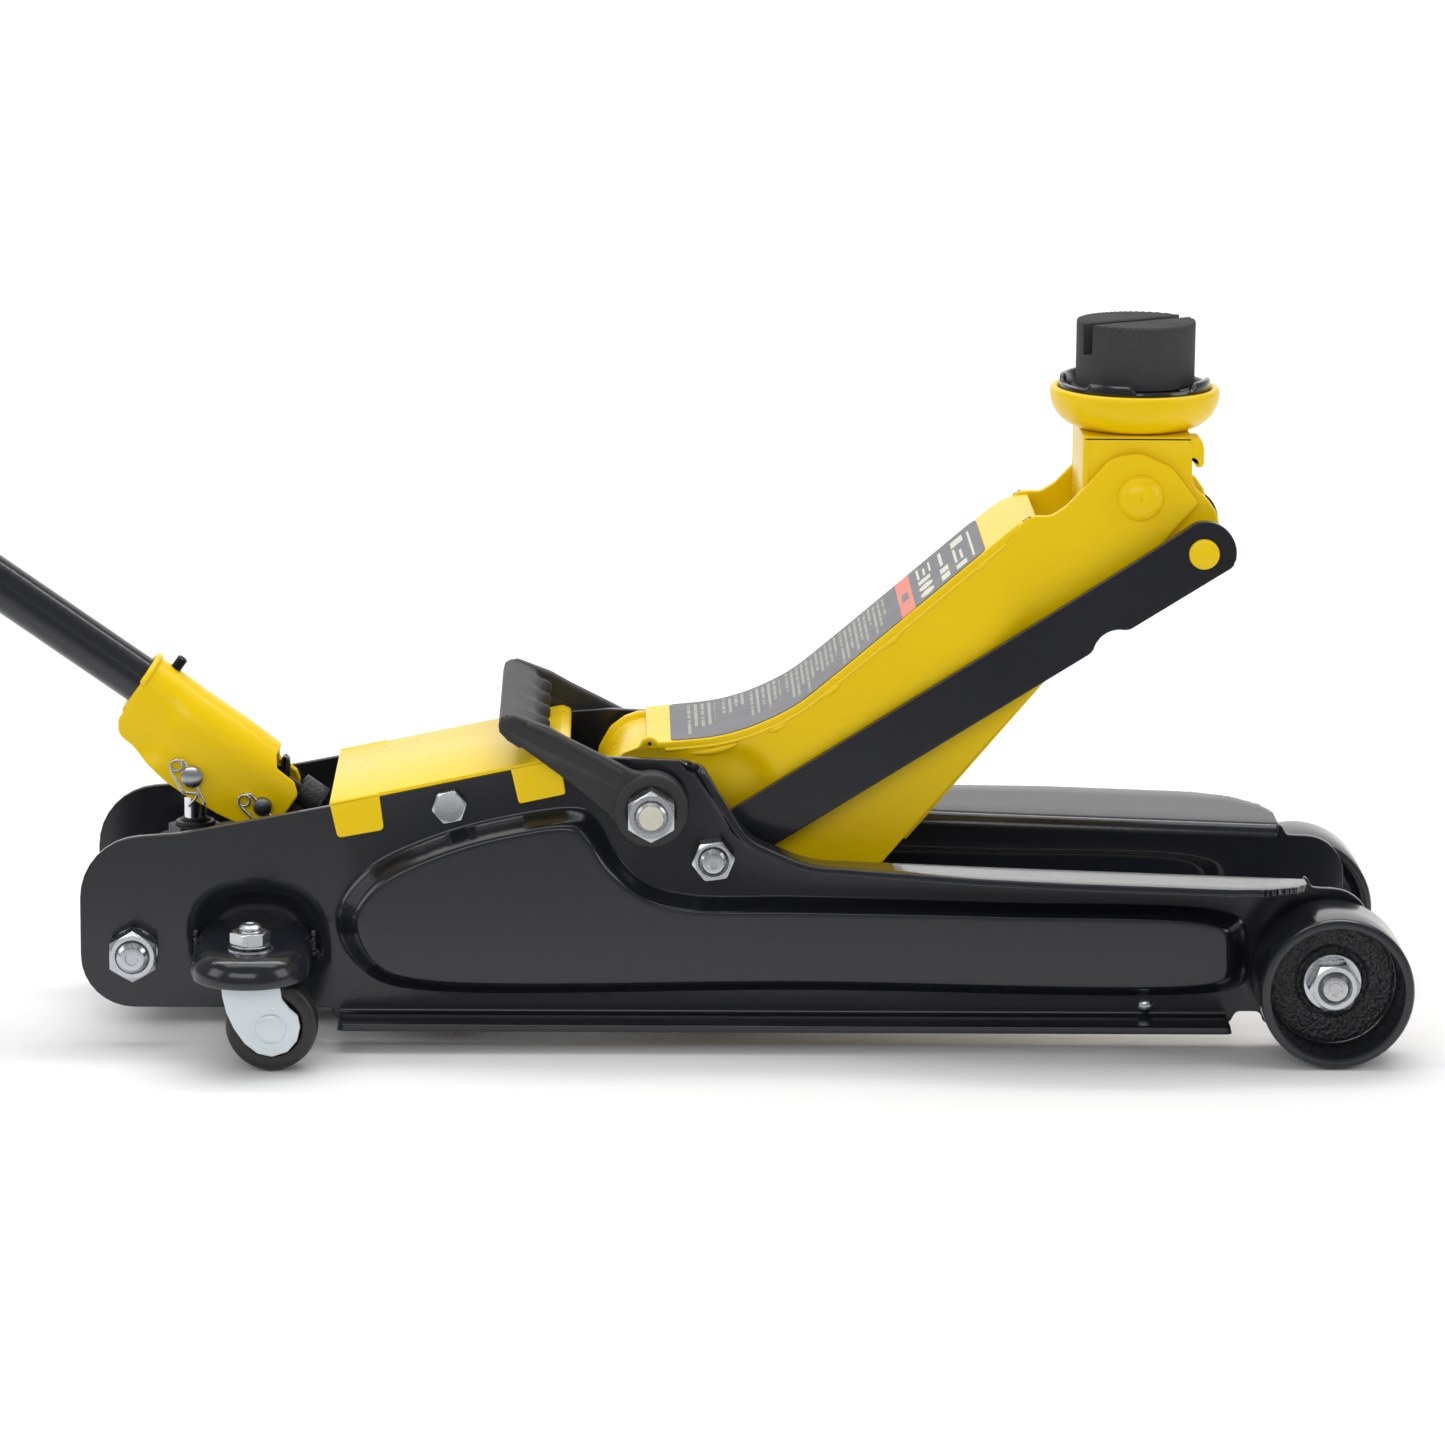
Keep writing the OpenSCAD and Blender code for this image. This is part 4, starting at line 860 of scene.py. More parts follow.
def on_top(p, h):
    """Flat pattern (length along the top plate, y) and height over it, bent to the top plate's curve."""
    h = np.broadcast_to(h, len(p))
    x = np.interp(p[:, 0], TS, TCs[:, 0]) + h * np.interp(p[:, 0], TS, TN[:, 0])
    z = np.interp(p[:, 0], TS, TCs[:, 1]) + h * np.interp(p[:, 0], TS, TN[:, 1])
    ex = np.where(p[:, 0] < 0, p[:, 0], np.where(p[:, 0] > TS[-1], p[:, 0] - TS[-1], 0))
    e = np.where(p[:, 0] < 0, 0, -1)
    return np.column_stack([x + ex * TT[e, 0], p[:, 1], z + ex * TT[e, 1]])


up = [(TCs[i, 0] - 3.2 * TN[i, 0], TCs[i, 1] - 3.2 * TN[i, 1]) for i in range(0, len(TCs), 4) if 318 < TCs[i, 0] < 488]
SIDE = [[352, 84, 26], [331, 67, 14], [324.5, 60, 3], [321, 52.5, 6], [310, 49, 10], [298.5, 52.5, 6], [294.7, 62, 6], [289.5, 101, 5], [280, 109, 9], [273.2, 121, 12], [273, 136, 12], [279.5, 147.8, 10], [287, 153.6, 10], [294.4, 156.4, 3], [297.0, 160.8, 3], [300.4, 162.5, 3.6], [304.0, 160.2, 3], [306.6, 156.2, 2.5]] + [[x, z, 0] for x, z in up]
SIDE += [[494, 276.2, 3], [498.5, 279.8, 3], [504, 280.6, 5], [510.4, 280.4, 8], [518, 285.4, 12], [529, 297, 14], [542, 312, 16], [557, 314.4, 14], [574, 306.5, 12], [588.0, 287.8, 2.5], [577, 275, 7], [423, 91, 10], [378, 86, 40]]
SIDE_F = dense(rp([p for p in SIDE if not (296 < p[0] < 308 and p[1] > 150)], 7), 5)
SIDE = dense(rp(SIDE, 7), 5)
ar = Shape()
for s in (-1, 1):
    sheet(ar, SIDE if s < 0 else SIDE_F, 36, 40, lambda p, h, s=s: np.column_stack([p[:, 0], s * (h + wide(p[:, 0], p[:, 1])), p[:, 1]]), (6.0, 6.0), 0.9, 3)
TW = 40.2 + wide(TCs[:, 0], TCs[:, 1] - 3)  # half width of the plate along its length
TW = np.where(TCs[:, 0] < 330, np.maximum(TW, 45.4), TW)
TW = TW - 5.6 * smooth01((TCs[:, 0] - 488) / 12.0)
k = np.arange(0, len(TS), 2)
plate = [(TS[i], -TW[i]) for i in k] + [(TS[i], TW[i]) for i in k[::-1]]
sheet(ar, rp([[a, b, 1.6 if n in (0, len(k) - 1, len(k), 2 * len(k) - 1) else 0] for n, (a, b) in enumerate(plate)], 4), -3.6, 0, on_top, (3.0, 8.0), 0.8)
ar.lathe([(12.7, -36.5), (18, -36.5), (18, 36.5), (12.7, 36.5)], lambda x, y, h: (C[0] + x, h, C[1] + y), 64, ring=True)
ap = [(C[0] + 26.5 * math.cos(a), C[1] + 26.5 * math.sin(a)) for a in np.radians(np.arange(86, 201, 5))]
ap += [(C[0] + 22.5 * math.cos(a), C[1] + 22.5 * math.sin(a)) for a in np.radians(np.arange(200, 85, -5))]
ar.slab(np.array(ap), -36.2, 36.2, 0.9)
ar.slab(np.array([[434, 107], [437, 104.5], [515, 197.5], [512, 200]]), -36.2, 36.2, 0.8)
for s in (-1, 1):
    # beads along both edges of the top plate, the web and the tube
    n = 150
    u = np.linspace(10, TS[-1] - 22, n)
    p = np.column_stack([u, s * (np.interp(u, TS, TW) - 0.4)])
    q = on_top(p, -4.2)
    ar.tube(q + np.column_stack([0 * q[:, 0], 0.12 * np.sin(np.arange(n) * 1.9), 0 * q[:, 0]]), 1.05 + 0.12 * np.sin(np.arange(n) * 2.4), 8)
    t = np.linspace(0, 1, 60)
    ar.tube(np.column_stack([434.6 + 76.5 * t, np.full(60, s * 35.3), 108.6 + 91 * t]), 1.7 + 0.25 * np.sin(np.arange(60) * 2.2), 8)
    a = np.linspace(0, 2 * math.pi, 80, endpoint=False)
    ar.tube(np.column_stack([C[0] + 18.6 * np.cos(a), np.full(80, s * 35.0), C[1] + 18.6 * np.sin(a)]), 1.6 + 0.2 * np.sin(np.arange(80) * 3), 8, closed=True)
    # short welds that run over the upper edge of the side
    for x0, ln, h, th_ in ((333, 12, -6.6, 0.10), (365, 5, -6.0, 0), (393, 7, -5.2, 0.0), (424, 9, -5.0, 0), (470, 5, -4.6, 0)):
        k = 19
        tt = np.linspace(-1, 1, k)
        u = float(np.interp(x0, TCs[:, 0], TS)) + ln * tt
        p = np.column_stack([u, s * (np.interp(u, TS, TW) - 0.75)])
        ar.tube(on_top(p, h + th_ * ln * (1 - tt) * -0.5 + 0.5 * tt ** 2), 1.75 * np.sqrt(np.maximum(0.02, 1 - tt ** 2)) + 0.1, 10)
make("lift_arm_weldment", ar, YEL, "arm", ["lift_arm"], ang=36)
# Painted shade: a small dark disc on the near ear stands in for the shaded hook hole. Thin dark slivers on both sides,
# where the top plate ends, stand in for the shaded gap there.
eh = Shape()
for s in (-1,):
    e0 = 40 + float(wide(300.3, 158.6))
    eh.lathe([(0, e0 - 1), (1.15, e0 - 1), (1.15, e0 + 0.1), (0.9, e0 + 0.16), (0, e0 + 0.14)], to_y((300.3, 158.4), s), 20)
eh.slab(np.array([[495.4, 277.8], [499.6, 280.6], [500.2, 279.0], [501.6, 278.0], [499.0, 277.6]]), -40.3, -39.2, 0.15, 2)
eh.slab(np.array([[495.4, 277.8], [499.6, 280.6], [500.2, 279.0], [501.6, 278.0], [499.0, 277.6]]), 39.2, 40.3, 0.15, 2)
make("arm_hole_painted_shade", eh, OXI, "arm", [], ang=40)

# printed film on the top plate: bars and blocks only
s_lo, s_hi = float(np.interp(311.5, TCs[:, 0], TS)), float(np.interp(476.2, TCs[:, 0], TS))
lab = Shape()
LH = 44.4


def on_label(p, h):
    """The film follows the plate's width; its own half width is 44.4 before that."""
    return on_top(np.column_stack([p[:, 0], p[:, 1] * (np.interp(p[:, 0], TS, TW) - 1.4) / LH]), h)


sheet(lab, dense(rp([[s_lo, -LH, 4], [s_hi, -LH, 6], [s_hi, LH, 6], [s_lo, LH, 4]], 6), 2.5), 0.05, 0.45, on_label, (2.5, 8.0), 0.2, 2)
LAB = bpy.data.materials.new("label_film")
LAB.use_nodes = True
nt = LAB.node_tree
N, L = nt.nodes, nt.links
bs = N["Principled BSDF"]
uvn = N.new("ShaderNodeUVMap")
uvn.uv_map = "print"
sep = N.new("ShaderNodeSeparateXYZ")
L.new(uvn.outputs[0], sep.inputs[0])


def mth(op, a, b=None, c=None):
    n = N.new("ShaderNodeMath")
    n.operation = op
    for i, v in enumerate((a, b, c)):
        if v is None:
            continue
        if isinstance(v, (int, float)):
            n.inputs[i].default_value = v
        else:
            L.new(v, n.inputs[i])
    return n.outputs[0]


U, Vv = sep.outputs[0], sep.outputs[1]  # U along the label in mm, V across in mm from -32.5 to 32.5


def band(v, a, b):
    return mth("MULTIPLY", mth("GREATER_THAN", v, a), mth("LESS_THAN", v, b))


def line_rows(u0, u1, pitch, duty, vmin, vmax, seed, word):
    """Rows of short bars, like printed lines with no letters."""
    k = mth("DIVIDE", mth("SUBTRACT", U, u0), pitch)
    row = mth("FLOOR", k)
    on = mth("LESS_THAN", mth("FRACT", k), duty)
    cmb = N.new("ShaderNodeCombineXYZ")
    L.new(row, cmb.inputs[0])
    cmb.inputs[1].default_value = seed
    wn = N.new("ShaderNodeTexWhiteNoise")
    wn.noise_dimensions = "2D"
    L.new(cmb.outputs[0], wn.inputs["Vector"])
    end = mth("ADD", mth("MULTIPLY", wn.outputs["Value"], (vmax - vmin) * 0.5), vmin)
    body = mth("GREATER_THAN", Vv, end)
    cell = N.new("ShaderNodeCombineXYZ")
    L.new(mth("FLOOR", mth("DIVIDE", Vv, word)), cell.inputs[0])
    L.new(row, cell.inputs[1])
    w2 = N.new("ShaderNodeTexWhiteNoise")
    w2.noise_dimensions = "2D"
    L.new(cell.outputs[0], w2.inputs["Vector"])
    gap = mth("LESS_THAN", w2.outputs["Value"], 0.86)
    m = mth("MULTIPLY", on, mth("MULTIPLY", body, gap))
    return mth("MULTIPLY", m, mth("MULTIPLY", band(U, u0, u1), mth("LESS_THAN", Vv, vmax)))


def sx(x):
    return float(np.interp(x, TCs[:, 0], TS)) - s_lo


rows = None
for r in (line_rows(sx(321), sx(336), 3.7, 0.46, -30, 28, 1.0, 1.9), line_rows(sx(340), sx(352), 3.5, 0.46, -8, 30, 2.0, 1.7), line_rows(sx(355), sx(371), 3.4, 0.46, -27, 29, 3.0, 1.8), line_rows(sx(374), sx(401), 3.3, 0.46, -30, 29, 4.0, 1.6), line_rows(sx(403), sx(428), 3.3, 0.46, -29, 29, 5.0, 1.7)):
    rows = r if rows is None else mth("MAXIMUM", rows, r)
o0, o1 = sx(433.2), sx(440.2)
orange = band(U, o0, o1)
orange = mth("MULTIPLY", orange, mth("MULTIPLY", mth("GREATER_THAN", Vv, -32.5), mth("LESS_THAN", Vv, 32.5)))
inner = mth("MULTIPLY", band(U, o0 + 2.4, o1 - 2.4), band(Vv, -9, 5))
# plain blocks near the upper end: discs, panels and short bars
blocks = None


def disc(u0, v0, r0, r1):
    d = mth("SQRT", mth("ADD", mth("POWER", mth("SUBTRACT", U, u0), 2.0), mth("POWER", mth("SUBTRACT", Vv, v0), 2.0)))
    return band(d, r0, r1)


u0 = o1
for b in (disc(u0 + 9, -23, 0, 4.6), disc(u0 + 9, -11, 0, 4.6), mth("MULTIPLY", band(U, u0 + 5, u0 + 13), band(Vv, -3, 4)),
          mth("MULTIPLY", band(U, u0 + 5, u0 + 6.4), band(Vv, 8, 27)), mth("MULTIPLY", band(U, u0 + 9, u0 + 10.4), band(Vv, 8, 21)), mth("MULTIPLY", band(U, u0 + 13, u0 + 14.2), band(Vv, 8, 25)),
          mth("MULTIPLY", band(U, u0 + 19, u0 + 24.5), band(Vv, -27, -17)), mth("MULTIPLY", band(U, u0 + 19, u0 + 24.5), band(Vv, -14, -5)), mth("MULTIPLY", band(U, u0 + 20, u0 + 22), band(Vv, 0, 24)),
          mth("MULTIPLY", band(U, u0 + 29, u0 + 36), band(Vv, -28, -20)), mth("MULTIPLY", band(U, u0 + 29, u0 + 30.6), band(Vv, -15, 10)), mth("MULTIPLY", band(U, u0 + 33, u0 + 34.6), band(Vv, -15, 2)), mth("MULTIPLY", band(U, u0 + 29, u0 + 37), band(Vv, 14, 25)), mth("MULTIPLY", band(U, u0 + 40, u0 + 41.4), band(Vv, -26, 22))):
    blocks = b if blocks is None else mth("MAXIMUM", blocks, b)


def mixc(f, a, b):
    n = N.new("ShaderNodeMix")
    n.data_type = "RGBA"
    L.new(f, n.inputs["Factor"])
    if isinstance(a, tuple):
        n.inputs["A"].default_value = a
    else:
        L.new(a, n.inputs["A"])
    n.inputs["B"].default_value = b
    return n.outputs["Result"]


tco = N.new("ShaderNodeTexCoord")
no = N.new("ShaderNodeTexNoise")
no.inputs["Scale"].default_value = 60
no.inputs["Detail"].default_value = 5
L.new(tco.outputs["Object"], no.inputs["Vector"])
base = mixc(no.outputs["Fac"], (0.082, 0.082, 0.098, 1), (0.105, 0.105, 0.122, 1))
c1 = mixc(rows, base, (0.30, 0.31, 0.24, 1))
c2 = mixc(orange, c1, (0.72, 0.16, 0.09, 1))
c3 = mixc(inner, c2, (0.14, 0.10, 0.10, 1))
c4 = mixc(blocks, c3, (0.62, 0.62, 0.50, 1))
L.new(c4, bs.inputs["Base Color"])
ro = N.new("ShaderNodeMapRange")
ro.inputs["To Min"].default_value, ro.inputs["To Max"].default_value = 0.30, 0.46
L.new(no.outputs["Fac"], ro.inputs["Value"])
L.new(ro.outputs[0], bs.inputs["Roughness"])
bn = N.new("ShaderNodeBump")
bn.inputs["Distance"].default_value = 0.00004
no2 = N.new("ShaderNodeTexNoise")
no2.inputs["Scale"].default_value = 900
L.new(tco.outputs["Object"], no2.inputs["Vector"])
L.new(no2.outputs["Fac"], bn.inputs["Height"])
L.new(bn.outputs[0], bs.inputs["Normal"])
lo = make("arm_label_film", lab, LAB, "arm", ["arm_label"], ang=60)
uvl = lo.data.uv_layers.new(name="print")
for lp in lo.data.loops:
    v = lo.data.vertices[lp.vertex_index].co
    i = int(np.argmin((TCs[:, 0] - (v.x * 1000 + XM)) ** 2 + (TCs[:, 1] - v.z * 1000) ** 2))
    d = np.array([v.x * 1000 + XM - TCs[i, 0], v.z * 1000 - TCs[i, 1]]) @ TT[i]
    uvl.data[lp.index].uv = (TS[i] + d - s_lo, v.y * 1000 * 32.5 / (TW[i] - 1.4))

# pins of the saddle end
pp = Shape()
pp.lathe([(0, -43), (8, -43), (8, 43), (0, 43)], lambda x, y, h: (P1[0] + x, h, P1[1] + y), 48)
for s in (-1, 1):
    pp.lathe([(0, 39.5), (11.9, 39.5), (12.1, 40.3), (11.9, 41.3), (11.0, 42.9), (9.4, 44.4), (7.2, 45.6), (4.6, 46.4), (2.2, 46.7), (1.1, 46.5), (0.5, 45.9), (0, 45.7)], to_y(P1, s), 56)
make("saddle_pin_domed", pp, YEL, "arm", ["saddle_pivot_pin"], ang=40)
lp_ = Shape()
lp_.lathe([(0, -54.6), (7.0, -54.6), (7.7, -54.2), (8, -53.4), (8, 53.4), (7.7, 54.2), (7.0, 54.6), (0, 54.6)], lambda x, y, h: (P2[0] + x, h, P2[1] + y), 48)
make("link_pin_turned", lp_, YEL, "bracket", ["link_front_pin"], ang=40)

# ---------------------------------------------------------------- link bars
ld = np.array([P2[0] - D[0], P2[1] - D[1]])
LL = float(np.linalg.norm(ld))
ld /= LL
lnn = np.array([-ld[1], ld[0]])
hw, er = 14.3, 17.3
bar = [(hw * math.cos(a), hw * math.sin(a)) for a in np.radians(np.arange(90, 271, 7.5))]
tn, dn, rn = 0.783 * LL, 23.3, 14.0
half = math.sqrt(rn ** 2 - (dn - hw) ** 2)
bar += [(tn - half - 2.5, -hw), (tn - half - 0.8, -hw + 0.35)]
a0 = math.acos((dn - hw) / rn)
bar += [(tn + rn * math.sin(a), -dn + rn * math.cos(a)) for a in np.linspace(-a0 + 0.12, a0 - 0.12, 11)]
bar += [(tn + half + 0.8, -hw + 0.35), (tn + half + 2.5, -hw), (LL + 8.2, -hw), (LL + 10.2, -hw + 0.6), (LL + 11.6, -hw + 2.0)]
bar += [(LL + er * math.cos(a), er * math.sin(a)) for a in np.radians(np.arange(-44, 73, 6))]
bar += [(LL + 2.6, 16.7), (LL - 3.0, 16.3), (LL - 40, 15.5), (LL - 120, 14.7)]
bar = np.array([[D[0] + t * ld[0] + w * lnn[0], D[1] + t * ld[1] + w * lnn[1]] for t, w in bar])
lk = Shape()
lk.slab(bar, -52, -47, 0.7, 3)
for f, s in ((False, "near"), (True, "far")):
    make(f"link_bar_plate_{s}", lk, BLK, "links", [f"link_bar_{s}"], ang=40, far=f)

# ---------------------------------------------------------------- saddle bracket, cup, dish and pad
EAR = rp([[527, 322.4, 1], [527, 283, 14], [546, 270.5, 14], [566, 262, 14], [577.5, 250.5, 8], [590, 247.0, 12], [603, 254, 12], [601.5, 270, 12], [597.9, 283, 6], [593.6, 289.0, 5], [587.0, 294.6, 5], [584.8, 302, 6], [584.8, 322.4, 1]], 6)
br = Shape()
for s in (-1, 1):
    br.slab(dense(EAR, 8), min(s * 35.6, s * 31), max(s * 35.6, s * 31), 1.3, 4)
br.slab(rp([[527, 322.3, 0.6], [527, 276, 2], [531.5, 274, 2], [531.5, 318, 2], [584, 318, 2], [584.4, 322.3, 0.6]], 4), -34.4, 34.4, 1.0, 3)
# corner rolls between the ears and the rear wall
for s in (-1, 1):
    br.tube(np.array([[529.6, s * 33.2, z] for z in np.linspace(281, 320, 14)]), 2.75, 14)
    br.tube(np.array([[x, s * 33.2, 319.6] for x in np.linspace(531, 582.5, 14)]), 2.6, 14)
# hook at the front edge
br.slab(rp([[580, 321.5, 1.5], [589.4, 321.5, 2.5], [590.9, 316, 3], [591.0, 306.6, 2], [586.6, 305.6, 1.5], [586.2, 309.4, 1.5], [581, 310, 1]], 4), -35.2, -16, 1.2, 3)
br.lathe([(9.2, 311.8), (15, 311.8), (15, 321.9), (9.2, 321.9)], to_z(SADX, 0), 48, ring=True)
make("saddle_bracket_pressed", br, YELR, "bracket", ["saddle_bracket"], ang=38)
cu = Shape()
cprof = spline([(26, 322.2), (30.5, 322.7), (35.5, 324.6), (40.0, 328.2), (43.2, 332.8), (44.7, 337.6), (45.0, 341.2), (44.5, 343.3), (43.0, 344.0), (41.2, 343.7), (40.3, 342.2), (39.4, 338.6), (37.2, 334.0), (33.4, 330.2), (28.0, 328.0)], 3, closed=False)
cu.lathe([(9.6, 327.2), (9.6, 322.2)] + [tuple(p) for p in cprof] + [(24, 327.2)], to_z(SADX, 0), 112, ring=True)
make("saddle_cup_cast", cu, YELR, "bracket", ["saddle_cup"], ang=40)
di = Shape()
n = 180
th = np.arange(n) * 2 * math.pi / n


def lug(t):
    """Height of the wavy rim: four raised lugs round the dish."""
    d = (np.degrees(t) - 65 + 45) % 90 - 45
    return 3.6 * smooth01((21 - np.abs(d)) / 5.0)


wv = lug(th + math.pi)
rings = [(8.6, 327.8, 0), (26, 327.8, 0), (33, 331.0, 0), (37.6, 335.2, 0), (39.4, 339.4, .1), (39.8, 342.6, .5), (39.9, 344.6, 1), (39.5, 345.7, 1), (38.4, 346.2, 1), (37.2, 345.9, 1), (36.4, 344.8, .9), (35.6, 341.8, .4), (33.5, 339.2, 0), (30, 337.6, 0), (8.6, 336.8, 0)]
di.loft([np.column_stack([SADX + r * np.cos(th), r * np.sin(th), z + k * wv]) for r, z, k in rings])
di.lathe([(0, 300), (10.2, 300), (11, 300.6), (11, 302.8), (8.6, 303.4), (8.6, 328.4), (0, 328.4)], to_z(SADX, 0), 40)
make("saddle_dish_wavy", di, SAD, "saddle", ["saddle_dish"], ang=45)
pdm = Shape()
ca, sa = math.cos(math.radians(31)), math.sin(math.radians(31))


def pl(p, q, z):
    """Pad frame: p along the slot, q across it."""
    return (SADX + p * ca - q * sa, p * sa + q * ca, z)


pdm.lathe([(0, 337.4), (23.4, 337.4), (24, 338), (24, 345), (30.7, 345.2), (31.5, 345.9), (31.5, 362.2), (0, 362.2)], to_z(SADX, 0), 120)
for s in (-1, 1):
    cols, n = [], 118
    for i in range(n + 1):
        p = -31.1 + 62.2 * i / n
        q1 = math.sqrt(31.5 ** 2 - p * p)
        if q1 > 4.3:
            cols.append((p, q1))
    top = 379.2
    V, F = [], []
    for i, (p, q1) in enumerate(cols):
        dz = 0.0 if i in (0, len(cols) - 1) else 0.75 * (1 - abs(((p + 0.0) % 2.6) / 1.3 - 1)) * 1.4 - 0.35
        z1 = top - max(0.0, dz)
        V += [pl(p, s * 4, 361.5), pl(p, s * q1, 361.5), pl(p, s * q1, top - 1.0), pl(p, s * (q1 - 0.7), z1), pl(p, s * 4.7, z1), pl(p, s * 4, top - 0.8)]
    m_ = len(cols)
    for i in range(m_ - 1):
        a, b = i * 6, (i + 1) * 6
        F += [(a + k, a + (k + 1) % 6, b + (k + 1) % 6, b + k) for k in range(6)]
    F += [tuple(range(5, -1, -1)), tuple((m_ - 1) * 6 + k for k in range(6))]
    pdm.add(V, F)
make("saddle_pad_rubber", pdm, PAD, "saddle", ["saddle_pad"], ang=30)

# ---------------------------------------------------------------- pump socket: wrapped sheet with a narrowed mouth
SB = [(91, 0), (89.2, 47.6), (84.5, 54.4), (74, 55.4), (63, 59.0), (50, 61.0), (36, 61.0), (18, 59.0), (5, 56.2), (-6, 50.2), (-12.2, 37.6), (-12.2, 24.4), (-6.5, 19.4), (5.2, 19.0), (9, 12), (9, 0)]
rad = [0, 5, 8, 8, 12, 14, 20, 14, 12, 9, 7, 5, 3.2, 2.0, 2.0, 0]
outl = [(a, t, r) for (a, t), r in zip(SB, rad)]
outl += [(a, -t, r) for (a, t), r in list(zip(SB, rad))[1:-1][::-1]]
outl = dense(rp([list(o) for o in outl], 6), 4.0)


def wrap(p, h):
    """Flat pattern (a up the handle, t round the channel) to space; h is the height outwards."""
    a, t = p[:, 0], p[:, 1]
    mouth = smooth01((a - 58) / 14.0)
    R = 19.5 - 2.4 * mouth
    top = 30.8 + 0.5 * mouth - 1.6 * smooth01((34 - a) / 40)
    c = top - R
    arc = R * math.pi / 2
    sg = np.sign(t)
    u = np.abs(t)
    th_ = np.minimum(u / R, math.pi / 2)
    v, b = R * np.sin(th_), c + R * np.cos(th_)
    nv, nb = np.sin(th_), np.cos(th_)
    down = np.maximum(0, u - arc)
    b = b - down
    # the mouth closes in below the tube and its lip flares out again
    low = smooth01((down - 6) / 26.0)
    v = v - mouth * 3.2 * low * (1 - smooth01((down - 40) / 10.0) * 0.3)
    # soft dent beside the lower lip, then the outward flare of the lip
    dd = ((a - 60) / 12.0) ** 2 + ((b + 6) / 11.0) ** 2
    v = v - 2.3 * np.exp(-dd * 1.6)
    lip = smooth01((a - 80) / 10.0) * smooth01((down - 18) / 22.0)
    v = v + 3.6 * lip
    h = np.broadcast_to(h, len(p))
    return tubeax(a, sg * (v + h * nv), b + h * nb)


so = Shape()
sheet(so, outl, -3.0, 0.0, wrap, (2.6, 2.6), 0.9, 3)
# raised collar at the mouth
n = 40
aa = np.linspace(-1.35, 1.35, n)
path = tubeax(np.full(n, 89.6), 17.0 * np.sin(aa), 14.2 + 17.0 * np.cos(aa))
so.tube(path, 1.9 * np.ones(n), 10)
path = tubeax(np.full(n, 82.0) + 0 * aa, 16.9 * np.sin(aa * 0.35), 14.1 + 17.2 * np.cos(aa * 0.35))
make("handle_socket_sheet", so, YEL, "socket", ["handle_socket"], ang=50)
tubein = Shape()
tubein.lathe([(13.2, 58), (15.6, 58), (15.6, 90.5), (13.2, 90.5)], to_tube, 48, ring=True)
make("socket_inner_sleeve", tubein, YEL, "socket", [], ang=40)
ss = Shape()
put_s = lambda x, y, h: tuple(tubeax(79 + x, y, h))
ss.lathe([(0, 28), (2.6, 28)] + [(r, h) for r, h in thread(3, 28.5, 38.2, 1.0, 0.5, 0.6)][:-3] + [(2.2, 38.2), (1.5, 38.2), (1.5, 36.4), (0, 36.3)], put_s, 24)
make("set_screw_threaded", ss, OXI, "socket", ["set_screw"], ang=26)
# universal joint end behind the socket
uj = Shape()
uj.lathe([(0, 7), (3.8, 7), (4.4, 6.4), (4.4, -1.2), (3.6, -2.2), (2.7, -2.6), (2.7, -27.6), (2.2, -28), (0, -28)], to_tube, 36)
uj.slab(rp([[103.2, 129, 2], [103.4, 140.2, 2.4], [108.0, 140.6, 2.4], [108.2, 129, 2]], 5), -4.5, 4.5, 1.2, 3)
for s in (-1, 1):
    uj.lathe([(0, 0), (2.0, 0), (2.0, 6.2), (1.6, 6.6), (0, 6.7)], lambda x, y, h, s=s: tuple(tubeax(3 + x, s * h, 15 + y)), 20)
make("release_joint", uj, OXI, "valve", ["release_valve"], ang=36)


# pins with turned ends, hairpin clips
def pin_(p, r, y1):
    q = Shape()
    q.lathe([(0, y1), (r * 0.55, y1 - 0.05), (r - 0.9, y1 - 0.15), (r - 0.25, y1 - 0.55), (r, y1 - 1.1), (r, -y1 + 1.1), (r - 0.25, -y1 + 0.55), (r - 0.9, -y1 + 0.15), (0, -y1)], lambda x, y, h: (p[0] + x, h, p[1] + y), 40)
    return q


make("plunger_pin_turned", pin_(R1, 6, 23.8), ZNC, "socket", ["plunger_pin"], ang=30)
make("socket_pivot_pin_turned", pin_(S, 5, 23.6), PIN, "base", ["socket_pivot_pin"], ang=30)


def clip_path(p, ang, y):
    """Hairpin: straight leg through the pin, one and a quarter turns of the eye, bowed leg outside the pin."""
    a = math.radians(ang)
    cx, cz, r = -8.1, 6.4, 3.0
    q = [(6.95, -15.4, 0), (4.2, -9.1, 0), (0, 0, 0), (-2.6, 5.6, 0), (-4.4, 8.6, 0.1)]
    q += [(cx + r * math.cos(t), cz + r * math.sin(t), 0.2 + 1.5 * k / 17) for k, t in enumerate(np.radians(np.arange(62, 62 + 18 * 27, 27)))]
    q += [(-10.6, 3.4, 1.7), (-8.6, -0.8, 1.7), (-6.4, -4.8, 1.7), (-5.0, -7.2, 1.7), (-3.6, -8.1, 1.6), (0.4, -8.4, 1.4), (2.4, -9.2, 1.3), (2.6, -10.6, 1.2), (0.8, -13.0, 1.1), (-1.6, -15.8, 1.0)]
    q = np.array(q)
    f = spline([tuple(v) for v in q[:, :2]], 3, closed=False)
    yy = np.interp(np.linspace(0, len(q) - 1, len(f)), np.arange(len(q)), q[:, 2])
    x = f[:, 0] * math.cos(a) - f[:, 1] * math.sin(a)
    z = f[:, 0] * math.sin(a) + f[:, 1] * math.cos(a)
    return np.column_stack([p[0] + x, y - yy, p[1] + z])


for nm, p, ang, body, rep in (("plunger_clip", R1, 0, "socket", "plunger_clips"), ("pivot_clip", S, 17, "base", "pivot_clips")):
    cl = Shape()
    cl.tube(clip_path(p, ang, -21.6), 0.82, 8)
    for f, s in ((False, "near"), (True, "far")):
        make(f"{nm}_{s}", cl, ZNC, body, [rep] if not f else [], ang=50, far=f)


